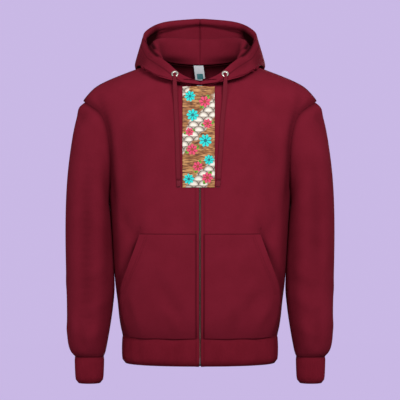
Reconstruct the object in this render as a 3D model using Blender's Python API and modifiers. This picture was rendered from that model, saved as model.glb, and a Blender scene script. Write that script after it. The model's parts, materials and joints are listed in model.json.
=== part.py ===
"""Zip up hoodie, filled out as if worn, with the hood lying back and the zip closed.

Metres, +Z up. The front faces -Y and the wearer's right is at -X. The origin is the middle of the
neck at the height where the shoulder seams start, which is where the wearer holds the garment up.
Cloth is worked out as a grid of points on its outer face, and its thickness goes inwards from there.
"""

import math
from bisect import bisect_left, bisect_right
from types import SimpleNamespace

import bmesh
import bpy
from mathutils import Matrix, Vector

# Thicknesses and gaps
CLOTH = 0.0025
RIB_CLOTH = 0.003
HOOD_CLOTH = 0.0035
SEAM_GAP = 0.0003
LAYER_GAP = 0.0008
SLEEVE_ROOM = 0.0018

# Heights of the garment's lines
UNDERARM_Z = -0.315
HEM_SEAM_Z = -0.630
HEM_BOTTOM_Z = -0.693
CUFF_SEAM_Z = -0.677
CUFF_BOTTOM_Z = -0.738

# Neckline: the shoulder seam's inner end, and how far the neck drops in front and behind
NECK_HALF_WIDTH = 0.090
NECK_POINT_Z = 0.008
NECK_FRONT_DROP = 0.0705
NECK_BACK_DROP = 0.010

# Torso form
TORSO_ROUND = 2.3
SHOULDER_ROUND = (0.12, 0.22)
SHOULDER_END_X = 0.273
ZIP_HALF_GAP = 0.0022

# Grid of a half panel: columns on the neckline, on the shoulder seam, rows below and above the arm
NECK_COLUMNS = 4
SHOULDER_COLUMNS = 8
NECK_COLUMN_ANGLE = math.radians(22.0)
LOWER_ROWS = 9
ARMHOLE_ROWS = 11

# Sleeve and cuff
SLEEVE_RINGS = 19
SLEEVE_ROUND = 2.2
CUFF_CENTRE = (0.2537, -0.028)

# Rib knit: pitch of one rib and how far it stands proud
RIB_PITCH = 0.0058
RIB_HEIGHT = 0.0007
OUTER_PER_INNER = 5

# Hood grid: columns from centre back to centre front, steps from neck seam to rim
HOOD_COLUMNS = 17
HOOD_STEPS = 17
SIDE_TURN = 0.42
HOOD_ROOM = 0.005

# Zip
CHAIN_WIDTH = 0.0036
CHAIN_THICKNESS = 0.002
CHAIN_SINK = 0.0004
TAPE_WIDTH = 0.028
TAPE_THICKNESS = 0.0008
TAPE_DEPTH = 0.0052
ZIP_TOP_Z = -0.0640
SLIDER_Z = -0.078
SLIDER_SIZE = (0.0088, 0.0013, 0.0125)
SLIDER_NECK = 0.0014
SLIDER_LIFT = 0.0005
PULL_LENGTH = 0.024
PULL_WIDTH = 0.0058
PULL_THICKNESS = 0.0011
PULL_EYE = (0.0014, 0.0036, 0.0035)

# Chest panel
PANEL_X = (-0.0392, 0.0329)
PANEL_Z = (-0.2905, -0.0645)
PANEL_THICKNESS = 0.001
PANEL_BUMP = 0.0050
PANEL_BUMP_HALF_WIDTH = 0.016
PANEL_BUMP_BOTTOM_Z = -0.112
PANEL_BUMP_FADE = 0.004

# Pocket
POCKET_INNER_X = 0.0088
POCKET_LIFT = 0.0022
POCKET_LIFT_REACH = 0.62

# Eyelets, drawcords and their tips
EYELET_TURN = 0.825
EYELET_ALONG = 0.80
EYELET_OUTER = 0.0080
EYELET_INNER = 0.0041
EYELET_HEIGHT = 0.0014
EYELET_LIFT = 0.0012
CORD_WIDTH = 0.0094
CORD_THICKNESS = 0.0024
CORD_POINTS = 20
TIP_LENGTH = 0.016
TIP_WIDTH = 0.0096
TIP_THICKNESS = 0.0026


class Table:
    """Rows of named columns, read between the rows on smooth curves through them."""

    def __init__(self, columns, rows):
        self.columns = columns.split()
        self.rows = rows

    def slope(self, index, column):
        low = self.rows[max(index - 1, 0)]
        high = self.rows[min(index + 1, len(self.rows) - 1)]
        return (high[column] - low[column]) / (high[0] - low[0])

    def at(self, key):
        keys = [row[0] for row in self.rows]
        key = min(max(key, keys[0]), keys[-1])
        low = min(bisect_right(keys, key), len(keys) - 1) - 1
        span = keys[low + 1] - keys[low]
        t = (key - keys[low]) / span
        values = {self.columns[0]: key}
        for column, name in enumerate(self.columns[1:], start=1):
            start = self.rows[low][column]
            end = self.rows[low + 1][column]
            rise = self.slope(low, column) * span
            fall = self.slope(low + 1, column) * span
            values[name] = (
                start * (2 * t ** 3 - 3 * t ** 2 + 1) + end * (3 * t ** 2 - 2 * t ** 3)
                + rise * (t ** 3 - 2 * t ** 2 + t) + fall * (t ** 3 - t ** 2))
        return SimpleNamespace(**values)


# Torso sections: half width, depth in front of and behind the shoulder seams
TORSO = Table("z half_width front back", (
    (-0.630, 0.1785, 0.1260, 0.1220),
    (-0.618, 0.1825, 0.1315, 0.1305),
    (-0.595, 0.1865, 0.1370, 0.1365),
    (-0.545, 0.1908, 0.1415, 0.1395),
    (-0.515, 0.1960, 0.1425, 0.1380),
    (-0.400, 0.2040, 0.1430, 0.1400),
    (-0.315, 0.2095, 0.1430, 0.1420),
    (-0.270, 0.2165, 0.1420, 0.1430),
    (-0.200, 0.2320, 0.1385, 0.1430),
    (-0.150, 0.2500, 0.1330, 0.1400),
    (-0.100, 0.2850, 0.1250, 0.1320),
    (-0.050, 0.3200, 0.1140, 0.1190),
    (0.020, 0.3400, 0.1000, 0.0980),
))

# Hem band sections, in the same way
HEM = Table("z half_width front back", (
    (HEM_BOTTOM_Z, 0.1785, 0.1250, 0.1210),
    (-0.660, 0.1806, 0.1275, 0.1235),
    (HEM_SEAM_Z - SEAM_GAP, 0.1786, 0.1262, 0.1222),
))

# Top line of the shoulders, seen from the front
SHOULDER = Table("x z", (
    (0.000, 0.0450),
    (0.090, 0.0080),
    (0.154, -0.0170),
    (0.205, -0.0370),
    (0.244, -0.0560),
    (0.262, -0.0720),
    (0.273, -0.0895),
    (0.300, -0.1400),
))

# Armhole from the underarm to the shoulder's outer end
ARMHOLE = Table("up x z", (
    (0.00, 0.2095, -0.3150),
    (0.13, 0.2090, -0.2850),
    (0.28, 0.2085, -0.2450),
    (0.43, 0.2095, -0.2050),
    (0.57, 0.2135, -0.1700),
    (0.70, 0.2210, -0.1370),
    (0.80, 0.2330, -0.1170),
    (0.90, 0.2520, -0.1045),
    (1.00, 0.2730, -0.0895),
))

# Sleeve rings: outer and inner end of each ring, its half depth, how far it sits forward, and how
# much of the armhole's own shape it keeps
SLEEVE = Table("along outer_x outer_z inner_x inner_z half_depth forward armhole", (
    (0.00, 0.2730, -0.0895, 0.2095, -0.3150, 0.078, 0.000, 1.00),
    (0.06, 0.2845, -0.1180, 0.2100, -0.3250, 0.082, 0.001, 0.85),
    (0.14, 0.2935, -0.1560, 0.2080, -0.3420, 0.086, 0.002, 0.55),
    (0.24, 0.3010, -0.2080, 0.2020, -0.3660, 0.087, 0.003, 0.22),
    (0.34, 0.3070, -0.2680, 0.1990, -0.3950, 0.085, 0.004, 0.00),
    (0.45, 0.3103, -0.3380, 0.1980, -0.4360, 0.081, 0.006, 0.00),
    (0.58, 0.3105, -0.4200, 0.1975, -0.4830, 0.075, 0.009, 0.00),
    (0.70, 0.3085, -0.4980, 0.1982, -0.5300, 0.070, 0.014, 0.00),
    (0.80, 0.3065, -0.5600, 0.2000, -0.5700, 0.065, 0.018, 0.00),
    (0.88, 0.3060, -0.6100, 0.2060, -0.6120, 0.061, 0.022, 0.00),
    (0.93, 0.3050, -0.6400, 0.2110, -0.6410, 0.056, 0.025, 0.00),
    (0.97, 0.2995, -0.6640, 0.2155, -0.6645, 0.047, 0.027, 0.00),
    (1.00, 0.2882, -0.6767, 0.2190, -0.6767, 0.037, 0.028, 0.00),
))

# Hood stations from centre back (0) to centre front (1). Outward distances from the neck seam, and
# heights, of the fold at the top of the stand, the bottom of the hood's bag, its outermost wall
# and the rim
HOOD = Table("turn fold_out fold_z bag_out bag_z far_out far_z rim_out rim_z", (
    (0.000, 0.012, 0.0675, 0.058, -0.0690, 0.094, -0.0240, 0.082, 0.1170),
    (0.150, 0.012, 0.0670, 0.055, -0.0600, 0.095, -0.0220, 0.084, 0.1060),
    (0.280, 0.012, 0.0640, 0.048, -0.0330, 0.081, -0.0160, 0.061, 0.0760),
    (0.420, 0.012, 0.0490, 0.041, -0.0080, 0.0590, -0.0100, 0.032, 0.0500),
    (0.500, 0.009, 0.0230, 0.036, -0.0110, 0.051, -0.0150, 0.020, 0.0300),
    (0.567, 0.006, 0.0030, 0.029, -0.0150, 0.045, -0.0210, 0.010, 0.0130),
    (0.700, 0.004, -0.0220, 0.018, -0.0350, 0.031, -0.0400, 0.003, -0.0030),
    (0.780, 0.003, -0.0370, 0.012, -0.0460, 0.022, -0.0480, 0.003, -0.0160),
    (0.855, 0.002, -0.0490, 0.008, -0.0530, 0.015, -0.0530, 0.004, -0.0340),
    (1.000, 0.001, -0.0600, 0.003, -0.0600, 0.006, -0.0590, 0.004, -0.0540),
))

# Outer edge of the right and left pocket: hem, side end of the opening, slanted opening, top
POCKET_EDGE = Table("z x", (
    (-0.6280, 0.1600),
    (-0.5800, 0.1730),
    (-0.5380, 0.1800),
    (-0.5100, 0.1720),
    (-0.4610, 0.1545),
    (-0.4240, 0.1430),
    (-0.3935, 0.1345),
))

# Largest folds of the torso: ends in front view, half width and height (troughs are negative)
FRONT_FOLDS = (
    # x0, z0, x1, z1, half_width, height
    (0.185, -0.330, 0.120, -0.430, 0.020, -0.0030),
    (0.150, -0.540, 0.125, -0.640, 0.022, 0.0028),
    (0.075, -0.560, 0.060, -0.640, 0.020, 0.0025),
    (0.205, -0.130, 0.150, -0.200, 0.020, -0.0025),
)
BACK_FOLDS = (
    (0.190, -0.320, 0.110, -0.400, 0.022, -0.0035),
    (0.140, -0.550, 0.120, -0.640, 0.018, 0.0040),
    (0.050, -0.560, 0.045, -0.640, 0.018, 0.0035),
    (0.200, -0.140, 0.120, -0.230, 0.024, -0.0030),
    (0.000, -0.160, 0.020, -0.330, 0.030, -0.0030),
)
# Largest folds of a sleeve: place round it (0 top, 0.25 front, 0.5 under) and along it at both ends
SLEEVE_FOLDS = (
    # round0, along0, round1, along1, half_width, height
    (0.26, 0.15, 0.24, 0.90, 0.045, -0.0045),
    (0.74, 0.20, 0.78, 0.85, 0.045, -0.0040),
    (0.48, 0.55, 0.20, 0.66, 0.035, 0.0035),
    (0.50, 0.68, 0.30, 0.76, 0.035, 0.0035),
    (0.52, 0.58, 0.80, 0.68, 0.035, 0.0035),
    (0.10, 0.86, 0.34, 0.92, 0.030, 0.0030),
    (0.60, 0.90, 0.88, 0.86, 0.030, 0.0030),
)

# Colours (linear RGB), roughness, metallic
BURGUNDY = ((0.165, 0.011, 0.022), 0.9, 0.0)
BURGUNDY_RIB = ((0.130, 0.008, 0.017), 0.9, 0.0)
CORD_BURGUNDY = ((0.150, 0.010, 0.020), 0.8, 0.0)
TAPE_BURGUNDY = ((0.060, 0.006, 0.012), 0.8, 0.0)
ZIP_METAL = ((0.300, 0.310, 0.290), 0.35, 1.0)
NICKEL = ((0.620, 0.600, 0.540), 0.25, 1.0)
CLEAR_TIP = ((0.500, 0.360, 0.380), 0.3, 0.0)
PRINT_CLOTH = ((0.420, 0.250, 0.140), 0.7, 0.0)
LABEL_WHITE = ((0.800, 0.800, 0.800), 0.7, 0.0)


def mix(a, b, t):
    return a + (b - a) * t


def spread(value, power):
    """Power that keeps its sign, for the arcs of a superellipse."""
    return math.copysign(abs(value) ** power, value)


def fold_height(u, v, folds):
    """Sum of soft ridges and troughs, each fading out towards its ends."""
    total = 0.0
    for u0, v0, u1, v1, half_width, height in folds:
        run = Vector((u1 - u0, v1 - v0))
        offset = Vector((u - u0, v - v0))
        along = offset.dot(run) / run.length_squared
        across = (offset - run * along).length / half_width
        beyond = max(-along, along - 1.0, 0.0) * run.length / half_width
        total += height * math.exp(-across ** 2 - beyond ** 2)
    return total


def spline(points, per_span):
    """Catmull-Rom curve through the given points."""
    out = []
    last = len(points) - 1
    for index in range(last):
        p0 = points[max(index - 1, 0)]
        p1 = points[index]
        p2 = points[index + 1]
        p3 = points[min(index + 2, last)]
        for step in range(per_span):
            t = step / per_span
            out.append(0.5 * (
                2 * p1 + (p2 - p0) * t + (2 * p0 - 5 * p1 + 4 * p2 - p3) * t * t
                + (3 * p1 - p0 - 3 * p2 + p3) * t ** 3))
    out.append(points[-1].copy())
    return out


def evenly(points, count):
    """The same path with count + 1 points at equal steps along it."""
    lengths = [0.0]
    for first, second in zip(points, points[1:]):
        lengths.append(lengths[-1] + (second - first).length)
    out = []
    for step in range(count + 1):
        target = lengths[-1] * step / count
        index = min(max(bisect_right(lengths, target), 1), len(points) - 1)
        t = (target - lengths[index - 1]) / (lengths[index] - lengths[index - 1])
        out.append(points[index - 1].lerp(points[index], t))
    return out


# Torso form, shared by the front, the back and all that lies on them

def full_depth(x, z, side):
    """Depth of the torso at x and z away from the rounding under the shoulder seam."""
    section = TORSO.at(z)
    depth = section.front if side < 0 else section.back
    reach = min(abs(x) / section.half_width, 1.0)
    return depth * (1 - reach ** TORSO_ROUND) ** (1 / TORSO_ROUND)


def shoulder_round(x):
    """Height over which the torso rounds off below the shoulder seam."""
    return mix(*SHOULDER_ROUND, min(abs(x) / SHOULDER_END_X, 1.0) ** 2)


def torso_depth(x, z, side):
    below = (SHOULDER.at(abs(x)).z - z) / shoulder_round(x)
    below = min(max(below, 0.0), 1.0)
    return full_depth(x, z, side) * math.sqrt(1 - (1 - below) ** 2)


def torso_half_width(y, z):
    """Half width of the torso's outline at a depth y, or 0 outside of it."""
    section = TORSO.at(z)
    reach = abs(y) / (section.front if y < 0 else section.back)
    if reach >= 1:
        return 0.0
    return section.half_width * (1 - reach ** TORSO_ROUND) ** (1 / TORSO_ROUND)


def torso_point(x, z, side, out=0.0):
    """Point of the torso's outer face at x and z, moved out along the face's normal."""
    step = 0.001
    point = Vector((x, side * (torso_depth(x, z, side) + SEAM_GAP / 2), z))
    inner_x = x - math.copysign(step, x)
    across = point - Vector((inner_x, side * torso_depth(inner_x, z, side), z))
    low = Vector((x, side * torso_depth(x, z - step, side), z - step))
    normal = across.cross(point - low).normalized()
    if normal.y * side < 0:
        normal.negate()
    if torso_depth(x, z, side) < SEAM_GAP:
        normal.y = 0
        normal = Vector((math.copysign(abs(normal.x), x), 0, abs(normal.z))).normalized()
    folds = FRONT_FOLDS if side < 0 else BACK_FOLDS
    fade = min(torso_depth(x, z, side) / 0.06, 1.0)
    return point + normal * (out + fold_height(abs(x), z, folds) * fade)


def neck_point(angle, drop):
    """Front view of the neckline; angle 0 is the centre line and 90 degrees the shoulder seam."""
    return NECK_HALF_WIDTH * math.sin(angle), NECK_POINT_Z - drop * math.cos(angle)


def top_edge(column, drop):
    """Top of a panel's column: on the neckline first, then on the shoulder seam."""
    if column <= NECK_COLUMNS:
        return neck_point(math.pi / 2 * column / NECK_COLUMNS, drop)
    t = (column - NECK_COLUMNS) / SHOULDER_COLUMNS
    x = mix(NECK_HALF_WIDTH, ARMHOLE.at(1.0).x, t)
    return x, SHOULDER.at(x).z


def column_share(column):
    """How far out a column is, from 0 at the centre line to 1 at the side seam."""
    if column <= NECK_COLUMNS:
        angle = NECK_COLUMN_ANGLE * column / NECK_COLUMNS
    else:
        t = (column - NECK_COLUMNS) / SHOULDER_COLUMNS
        angle = mix(NECK_COLUMN_ANGLE, math.pi / 2, t)
    return math.sin(angle) ** (2 / TORSO_ROUND)


def armhole_point(up, side, out=0.0):
    """Point of the armhole's front or back half; up is 0 at the underarm and 1 at the shoulder."""
    arm = ARMHOLE.at(up)
    return torso_point(arm.x, arm.z, side, out)


def armhole_rows():
    """Values of up that lie at equal steps along the armhole."""
    fine = 200
    points = [armhole_point(step / fine, -1) for step in range(fine + 1)]
    reach = [0.0]
    for first, second in zip(points, points[1:]):
        reach.append(reach[-1] + (second - first).length)
    return [bisect_left(reach, reach[-1] * row / ARMHOLE_ROWS) / fine
            for row in range(ARMHOLE_ROWS + 1)]


ARMHOLE_UPS = armhole_rows()


def lower_heights():
    """Heights of a panel's rows between the hem seam and the underarm."""
    return [mix(HEM_SEAM_Z, UNDERARM_Z, (row / LOWER_ROWS) ** 1.4) for row in range(LOWER_ROWS)]


def half_panel(side, inner_x):
    """Outer and inner points of the front or back at +X, from the hem seam to neck and shoulder."""
    drop = NECK_FRONT_DROP if side < 0 else NECK_BACK_DROP
    columns = NECK_COLUMNS + SHOULDER_COLUMNS
    rows = []
    for z in lower_heights():
        half_width = TORSO.at(z).half_width
        rows.append([(mix(inner_x, half_width, column_share(c)), z) for c in range(columns + 1)])
    corner = ARMHOLE.at(0.0)
    top_inner = top_edge(0, drop)
    top_outer = top_edge(columns, drop)
    for v in ARMHOLE_UPS:
        arm = ARMHOLE.at(v)
        points = []
        for column in range(columns + 1):
            u = column_share(column)
            top = top_edge(column, drop)
            x = (mix(corner.x * u, top[0], v) + u * arm.x
                 - u * mix(corner.x, top_outer[0], v))
            z = (mix(UNDERARM_Z, top[1], v) + mix(mix(UNDERARM_Z, top_inner[1], v), arm.z, u)
                 - mix(UNDERARM_Z, mix(top_inner[1], top_outer[1], u), v))
            points.append((mix(inner_x, x, min(x / 0.03, 1.0)), z))
        rows.append(points)
    return [[[torso_point(x, z, side, out) for x, z in row] for row in rows] for out in (0, -CLOTH)]


def inner_points(rows, thickness, closed=False):
    """The points of a wall's inner face, square to its outer face."""
    out = []
    for index, row in enumerate(rows):
        before = rows[max(index - 1, 0)]
        after = rows[min(index + 1, len(rows) - 1)]
        count = len(row)
        points = []
        for place in range(count):
            if closed:
                around = row[(place + 1) % count] - row[place - 1]
            else:
                around = row[min(place + 1, count - 1)] - row[max(place - 1, 0)]
            normal = around.cross(after[place] - before[place]).normalized()
            points.append(row[place] - normal * thickness)
        out.append(points)
    return out


# Sleeve form

def armhole_ring(out=0.0):
    """The armhole from the shoulder's end down its front to the underarm and up its back."""
    front = [armhole_point(up, -1, out) for up in reversed(ARMHOLE_UPS)]
    back = [armhole_point(up, 1, out) for up in ARMHOLE_UPS[1:-1]]
    return front + back


def sleeve_ring(along):
    """Ring of points of the left sleeve, +X, at a place between armhole (0) and cuff (1)."""
    row = SLEEVE.at(along)
    first = SLEEVE.at(0.0)
    outer = Vector((row.outer_x, -row.forward, row.outer_z))
    inner = Vector((row.inner_x, -row.forward, row.inner_z))
    centre = (outer + inner) / 2
    axis = (outer - inner) / 2
    outer_shift = outer - Vector((first.outer_x, 0, first.outer_z))
    inner_shift = inner - Vector((first.inner_x, 0, first.inner_z))
    ring = []
    seams = armhole_ring()
    for index, seam in enumerate(seams):
        share = index / len(seams)
        angle = share * math.tau
        point = centre + axis * spread(math.cos(angle), 2 / SLEEVE_ROUND)
        point.y -= row.half_depth * spread(math.sin(angle), 2 / SLEEVE_ROUND)
        radial = (point - centre).normalized()
        fade = min(along / 0.15, (1 - along) / 0.06, 1.0)
        point += radial * fold_height(share, along, SLEEVE_FOLDS) * fade
        seam += outer_shift.lerp(inner_shift, (1 - math.cos(angle)) / 2)
        point = point.lerp(seam, min(max(row.armhole, 0.0), 1.0))
        if along > 0 and point.z > CUFF_SEAM_Z + 0.02:
            limit = torso_half_width(point.y, point.z) + SLEEVE_ROOM
            point.x = max(point.x, limit)
        ring.append(point)
    return ring


def sleeve_rings():
    """Outer and inner rings; the first pair lies just off the armhole's edge."""
    outer = []
    for step in range(SLEEVE_RINGS + 1):
        t = step / SLEEVE_RINGS
        outer.append(sleeve_ring(mix(t, (1 - math.cos(math.pi * t)) / 2, 0.5)))
    inner = inner_points(outer, CLOTH, closed=True)
    step_out = Vector((1.6 * SEAM_GAP, 0, 0))
    outer[0] = [point + step_out for point in armhole_ring()]
    inner[0] = [point + step_out for point in armhole_ring(-CLOTH)]
    for point in inner[-1]:
        point.z = outer[-1][0].z
    return outer, inner


# Hood form

def neck_seam():
    """Neckline from centre back to centre front at +X, at equal steps."""
    points = []
    fine = 40
    for step in range(2 * fine + 1):
        angle = math.pi / 2 * (1 - abs(step - fine) / fine)
        side = 1 if step < fine else -1
        x, z = neck_point(angle, NECK_BACK_DROP if side > 0 else NECK_FRONT_DROP)
        points.append(torso_point(max(x, 0.0001), z, side))
    return evenly(points, 200)


NECK_SEAM = neck_seam()


def clear_of_torso(point, room):
    """Moves a point out of the torso and the given room round it, the shorter way."""
    side = -1 if point.y < 0 else 1
    x = abs(point.x)
    if x > 0.27:
        return point
    lack = torso_depth(x, point.z, side) + room - abs(point.y)
    if lack <= 0:
        return point
    reach = min(abs(point.y) / full_depth(x, point.z, side), 1.0)
    top = SHOULDER.at(x).z - shoulder_round(x) * (1 - math.sqrt(1 - reach ** 2))
    rise = top + room - point.z
    if rise <= 0:
        return point
    if rise < lack:
        return point + Vector((0, 0, rise))
    return point + Vector((0, side * lack, 0))


def hood_profile(turn, steps=HOOD_STEPS):
    """Points from the neck seam up the stand, over the fold, round the bag and up to the rim."""
    row = HOOD.at(turn)
    seam = NECK_SEAM[round(turn * (len(NECK_SEAM) - 1))]
    if turn < SIDE_TURN:
        heading = math.pi / 2 * turn / SIDE_TURN
    else:
        heading = math.pi / 2 * (1 + (turn - SIDE_TURN) / (1 - SIDE_TURN))
    seam_z = seam.z + 4 * SEAM_GAP
    path = (
        (0.0, seam_z),
        (row.fold_out * 0.3, mix(seam_z, row.fold_z, 0.55)),
        (row.fold_out, row.fold_z),
        (mix(row.fold_out, row.bag_out, 0.55), mix(row.fold_z, row.bag_z, 0.40)),
        (row.bag_out, row.bag_z),
        (mix(row.bag_out, row.far_out, 0.65), mix(row.bag_z, row.far_z, 0.16)),
        (row.far_out, row.far_z),
        (mix(row.far_out, row.rim_out, 0.45), mix(row.far_z, row.rim_z, 0.52)),
        (row.rim_out, row.rim_z),
    )
    outward = Vector((math.sin(heading), math.cos(heading), 0))
    points = []
    for out, z in path:
        point = Vector((seam.x, seam.y, 0)) + outward * out
        point.z = z
        points.append(point)
    points = evenly(spline(points, 8), steps)
    return points[:1] + [clear_of_torso(point, HOOD_ROOM) for point in points[1:]]


# Building

def new_material(name, finish):
    colour, roughness, metallic = finish
    material = bpy.data.materials.new(name)
    material.use_nodes = True
    shader = material.node_tree.nodes["Principled BSDF"]
    shader.inputs["Base Color"].default_value = (*colour, 1.0)
    shader.inputs["Roughness"].default_value = roughness
    shader.inputs["Metallic"].default_value = metallic
    material.diffuse_color = (*colour, 1.0)
    return material


def add_object(name, data, finish):
    obj = bpy.data.objects.new(name, data)
    bpy.data.collections["zip_up_hoodie"].objects.link(obj)
    obj.data.materials.append(new_material(name, finish))
    return obj


def grid_object(name, rows, finish, flip=False):
    """Open surface over rows of points."""
    mesh = bpy.data.meshes.new(name)
    bm = bmesh.new()
    verts = [[bm.verts.new(point) for point in row] for row in rows]
    for low, high in zip(verts, verts[1:]):
        for index in range(len(low) - 1):
            corners = [low[index], low[index + 1], high[index + 1], high[index]]
            if flip:
                corners.reverse()
            bm.faces.new(corners)
    bm.to_mesh(mesh)
    bm.free()
    mesh.shade_smooth()
    return add_object(name, mesh, finish)


def thicken(obj, thickness):
    """Gives an open surface its thickness, inwards."""
    solid = obj.modifiers.new("Wall", "SOLIDIFY")
    solid.thickness = thickness
    solid.offset = -1.0
    solid.use_even_offset = False
    solid.use_rim = True


def wall_object(name, outer, inner, finish):
    """Closed wall between an outer and an inner grid of points."""
    mesh = bpy.data.meshes.new(name)
    bm = bmesh.new()
    outside = [[bm.verts.new(point) for point in row] for row in outer]
    inside = [[bm.verts.new(point) for point in row] for row in inner]
    for grid in (outside, inside):
        for low, high in zip(grid, grid[1:]):
            for index in range(len(low) - 1):
                bm.faces.new((low[index], low[index + 1], high[index + 1], high[index]))
    edges = [(outside[0], inside[0]), (outside[-1], inside[-1])]
    for end in (0, -1):
        edges.append(([row[end] for row in outside], [row[end] for row in inside]))
    for out_edge, in_edge in edges:
        for index in range(len(out_edge) - 1):
            bm.faces.new((out_edge[index], out_edge[index + 1], in_edge[index + 1], in_edge[index]))
    bmesh.ops.recalc_face_normals(bm, faces=bm.faces)
    bm.to_mesh(mesh)
    bm.free()
    mesh.shade_smooth()
    add_object(name, mesh, finish)


def mirrored(rows, sign):
    return [[Vector((sign * point.x, point.y, point.z)) for point in row] for row in rows]


def build_fronts():
    outer, inner = half_panel(-1, ZIP_HALF_GAP)
    for row in outer + inner:
        row[0].x = ZIP_HALF_GAP
    for name, sign in (("front_left", 1), ("front_right", -1)):
        wall_object(name, mirrored(outer, sign), mirrored(inner, sign), BURGUNDY)


def build_back():
    """Back panel in two halves, parted at the centre back."""
    halves = half_panel(1, 0.0)
    for half in halves:
        for row in half:
            row[0].x = SEAM_GAP / 2
    for side, sign in (("left", 1), ("right", -1)):
        wall_object(f"back_{side}", *[mirrored(half, sign) for half in halves], BURGUNDY)


def build_sleeves():
    """Front and rear half of each sleeve, parted along its top and under the arm."""
    rings = sleeve_rings()
    half_way = len(rings[0][0]) // 2
    for half, first, step in (("front", 0, -SEAM_GAP / 2), ("rear", half_way, SEAM_GAP / 2)):
        walls = []
        for grid in rings:
            rows = [(row + row[:1])[first:first + half_way + 1] for row in grid]
            rows = [[point.copy() for point in row] for row in rows]
            for row in rows:
                row[0].y += step
                row[-1].y += step
            walls.append(rows)
        for side, sign in (("left", 1), ("right", -1)):
            name = f"sleeve_{side}_{half}"
            wall_object(name, *[mirrored(rows, sign) for rows in walls], BURGUNDY)


def build_hood():
    outer = [hood_profile(step / HOOD_COLUMNS) for step in range(HOOD_COLUMNS + 1)]
    inner = inner_points(outer, HOOD_CLOTH)
    for columns in (outer, inner):
        for point in columns[0] + columns[-1]:
            point.x = SEAM_GAP / 2
    for name, sign in (("hood_left", 1), ("hood_right", -1)):
        wall_object(name, mirrored(outer, sign), mirrored(inner, sign), BURGUNDY)


def ribbed_band(name, outer, inner, closed):
    """Wall with ribs on its outside: outer rows are finer than inner ones by OUTER_PER_INNER."""
    mesh = bpy.data.meshes.new(name)
    bm = bmesh.new()
    outside = [[bm.verts.new(point) for point in row] for row in outer]
    inside = [[bm.verts.new(point) for point in row] for row in inner]

    def strip(rows, flip):
        for low, high in zip(rows, rows[1:]):
            count = len(low)
            for index in range(count if closed else count - 1):
                after = (index + 1) % count
                corners = [low[index], low[after], high[after], high[index]]
                bm.faces.new(corners[::-1] if flip else corners)

    def rim(fine, coarse, flip):
        for index in range(len(coarse) if closed else len(coarse) - 1):
            edge = [fine[(index * OUTER_PER_INNER + k) % len(fine)]
                    for k in range(OUTER_PER_INNER + 1)]
            corners = edge + [coarse[(index + 1) % len(coarse)], coarse[index]]
            bm.faces.new(corners[::-1] if flip else corners)

    strip(outside, False)
    strip(inside, True)
    rim(outside[0], inside[0], True)
    rim(outside[-1], inside[-1], False)
    if not closed:
        first = [row[0] for row in outside] + [row[0] for row in reversed(inside)]
        last = [row[-1] for row in outside] + [row[-1] for row in reversed(inside)]
        bm.faces.new(first)
        bm.faces.new(last[::-1])
    bm.to_mesh(mesh)
    bm.free()
    mesh.shade_smooth()
    add_object(name, mesh, BURGUNDY_RIB)


def band_ring(z, half_width, front, back, start_x):
    """Outline of the hem band at one height, from one zip edge round the back to the other."""
    points = []
    fine = 360
    start = math.asin(min((start_x / half_width) ** (TORSO_ROUND / 2), 1.0))
    for step in range(fine + 1):
        angle = mix(start, math.tau - start, step / fine)
        depth = front if math.cos(angle) > 0 else back
        points.append(Vector((
            half_width * spread(math.sin(angle), 2 / TORSO_ROUND),
            -depth * spread(math.cos(angle), 2 / TORSO_ROUND), z)))
    return points


def build_hem():
    path = band_ring(*HEM.rows[1], ZIP_HALF_GAP)
    length = sum((b - a).length for a, b in zip(path, path[1:]))
    inner_count = round(length / (RIB_PITCH / 2 * OUTER_PER_INNER) / 2) * 2
    outer = []
    for z, half_width, front, back in HEM.rows:
        row = evenly(band_ring(z, half_width, front, back, ZIP_HALF_GAP),
                     inner_count * OUTER_PER_INNER)
        outer.append([ribbed(point, Vector((0, 0, z)), index) for index, point in enumerate(row)])
    inner = []
    for z, half_width, front, back in (HEM.rows[0], HEM.rows[-1]):
        inner.append(evenly(band_ring(z, half_width - RIB_CLOTH, front - RIB_CLOTH,
                                      back - RIB_CLOTH, ZIP_HALF_GAP), inner_count))
    ribbed_band("hem_rib", outer, inner, closed=False)


def ribbed(point, centre, index):
    """Every other point sinks between two ribs."""
    if index % 2 == 0:
        return point
    return point - (point - centre).normalized() * RIB_HEIGHT


def build_cuffs():
    # z, half width, half depth
    sections = (
        (CUFF_BOTTOM_Z, 0.0312, 0.0335),
        (mix(CUFF_BOTTOM_Z, CUFF_SEAM_Z, 0.5), 0.0332, 0.0350),
        (CUFF_SEAM_Z - SEAM_GAP, 0.0338, 0.0358),
    )
    inner_count = round(math.tau * 0.034 / (RIB_PITCH / 2 * OUTER_PER_INNER) / 2) * 2
    count = inner_count * OUTER_PER_INNER

    def ring(z, half_width, half_depth, points):
        return [Vector((CUFF_CENTRE[0] + half_width * math.cos(math.tau * k / points),
                        CUFF_CENTRE[1] + half_depth * math.sin(math.tau * k / points), z))
                for k in range(points)]

    outer = []
    for z, half_width, half_depth in sections:
        row = ring(z, half_width, half_depth, count)
        centre = Vector((*CUFF_CENTRE, z))
        outer.append([ribbed(point, centre, index) for index, point in enumerate(row)])
    inner = [ring(z, half_width - RIB_CLOTH, half_depth - RIB_CLOTH, inner_count)
             for z, half_width, half_depth in (sections[0], sections[2])]
    for name, sign in (("cuff_left", 1), ("cuff_right", -1)):
        outside = mirrored(outer, sign)
        inside = mirrored(inner, sign)
        if sign < 0:
            outside = [row[:1] + row[:0:-1] for row in outside]
            inside = [row[:1] + row[:0:-1] for row in inside]
        ribbed_band(name, outside, inside, closed=True)


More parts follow.
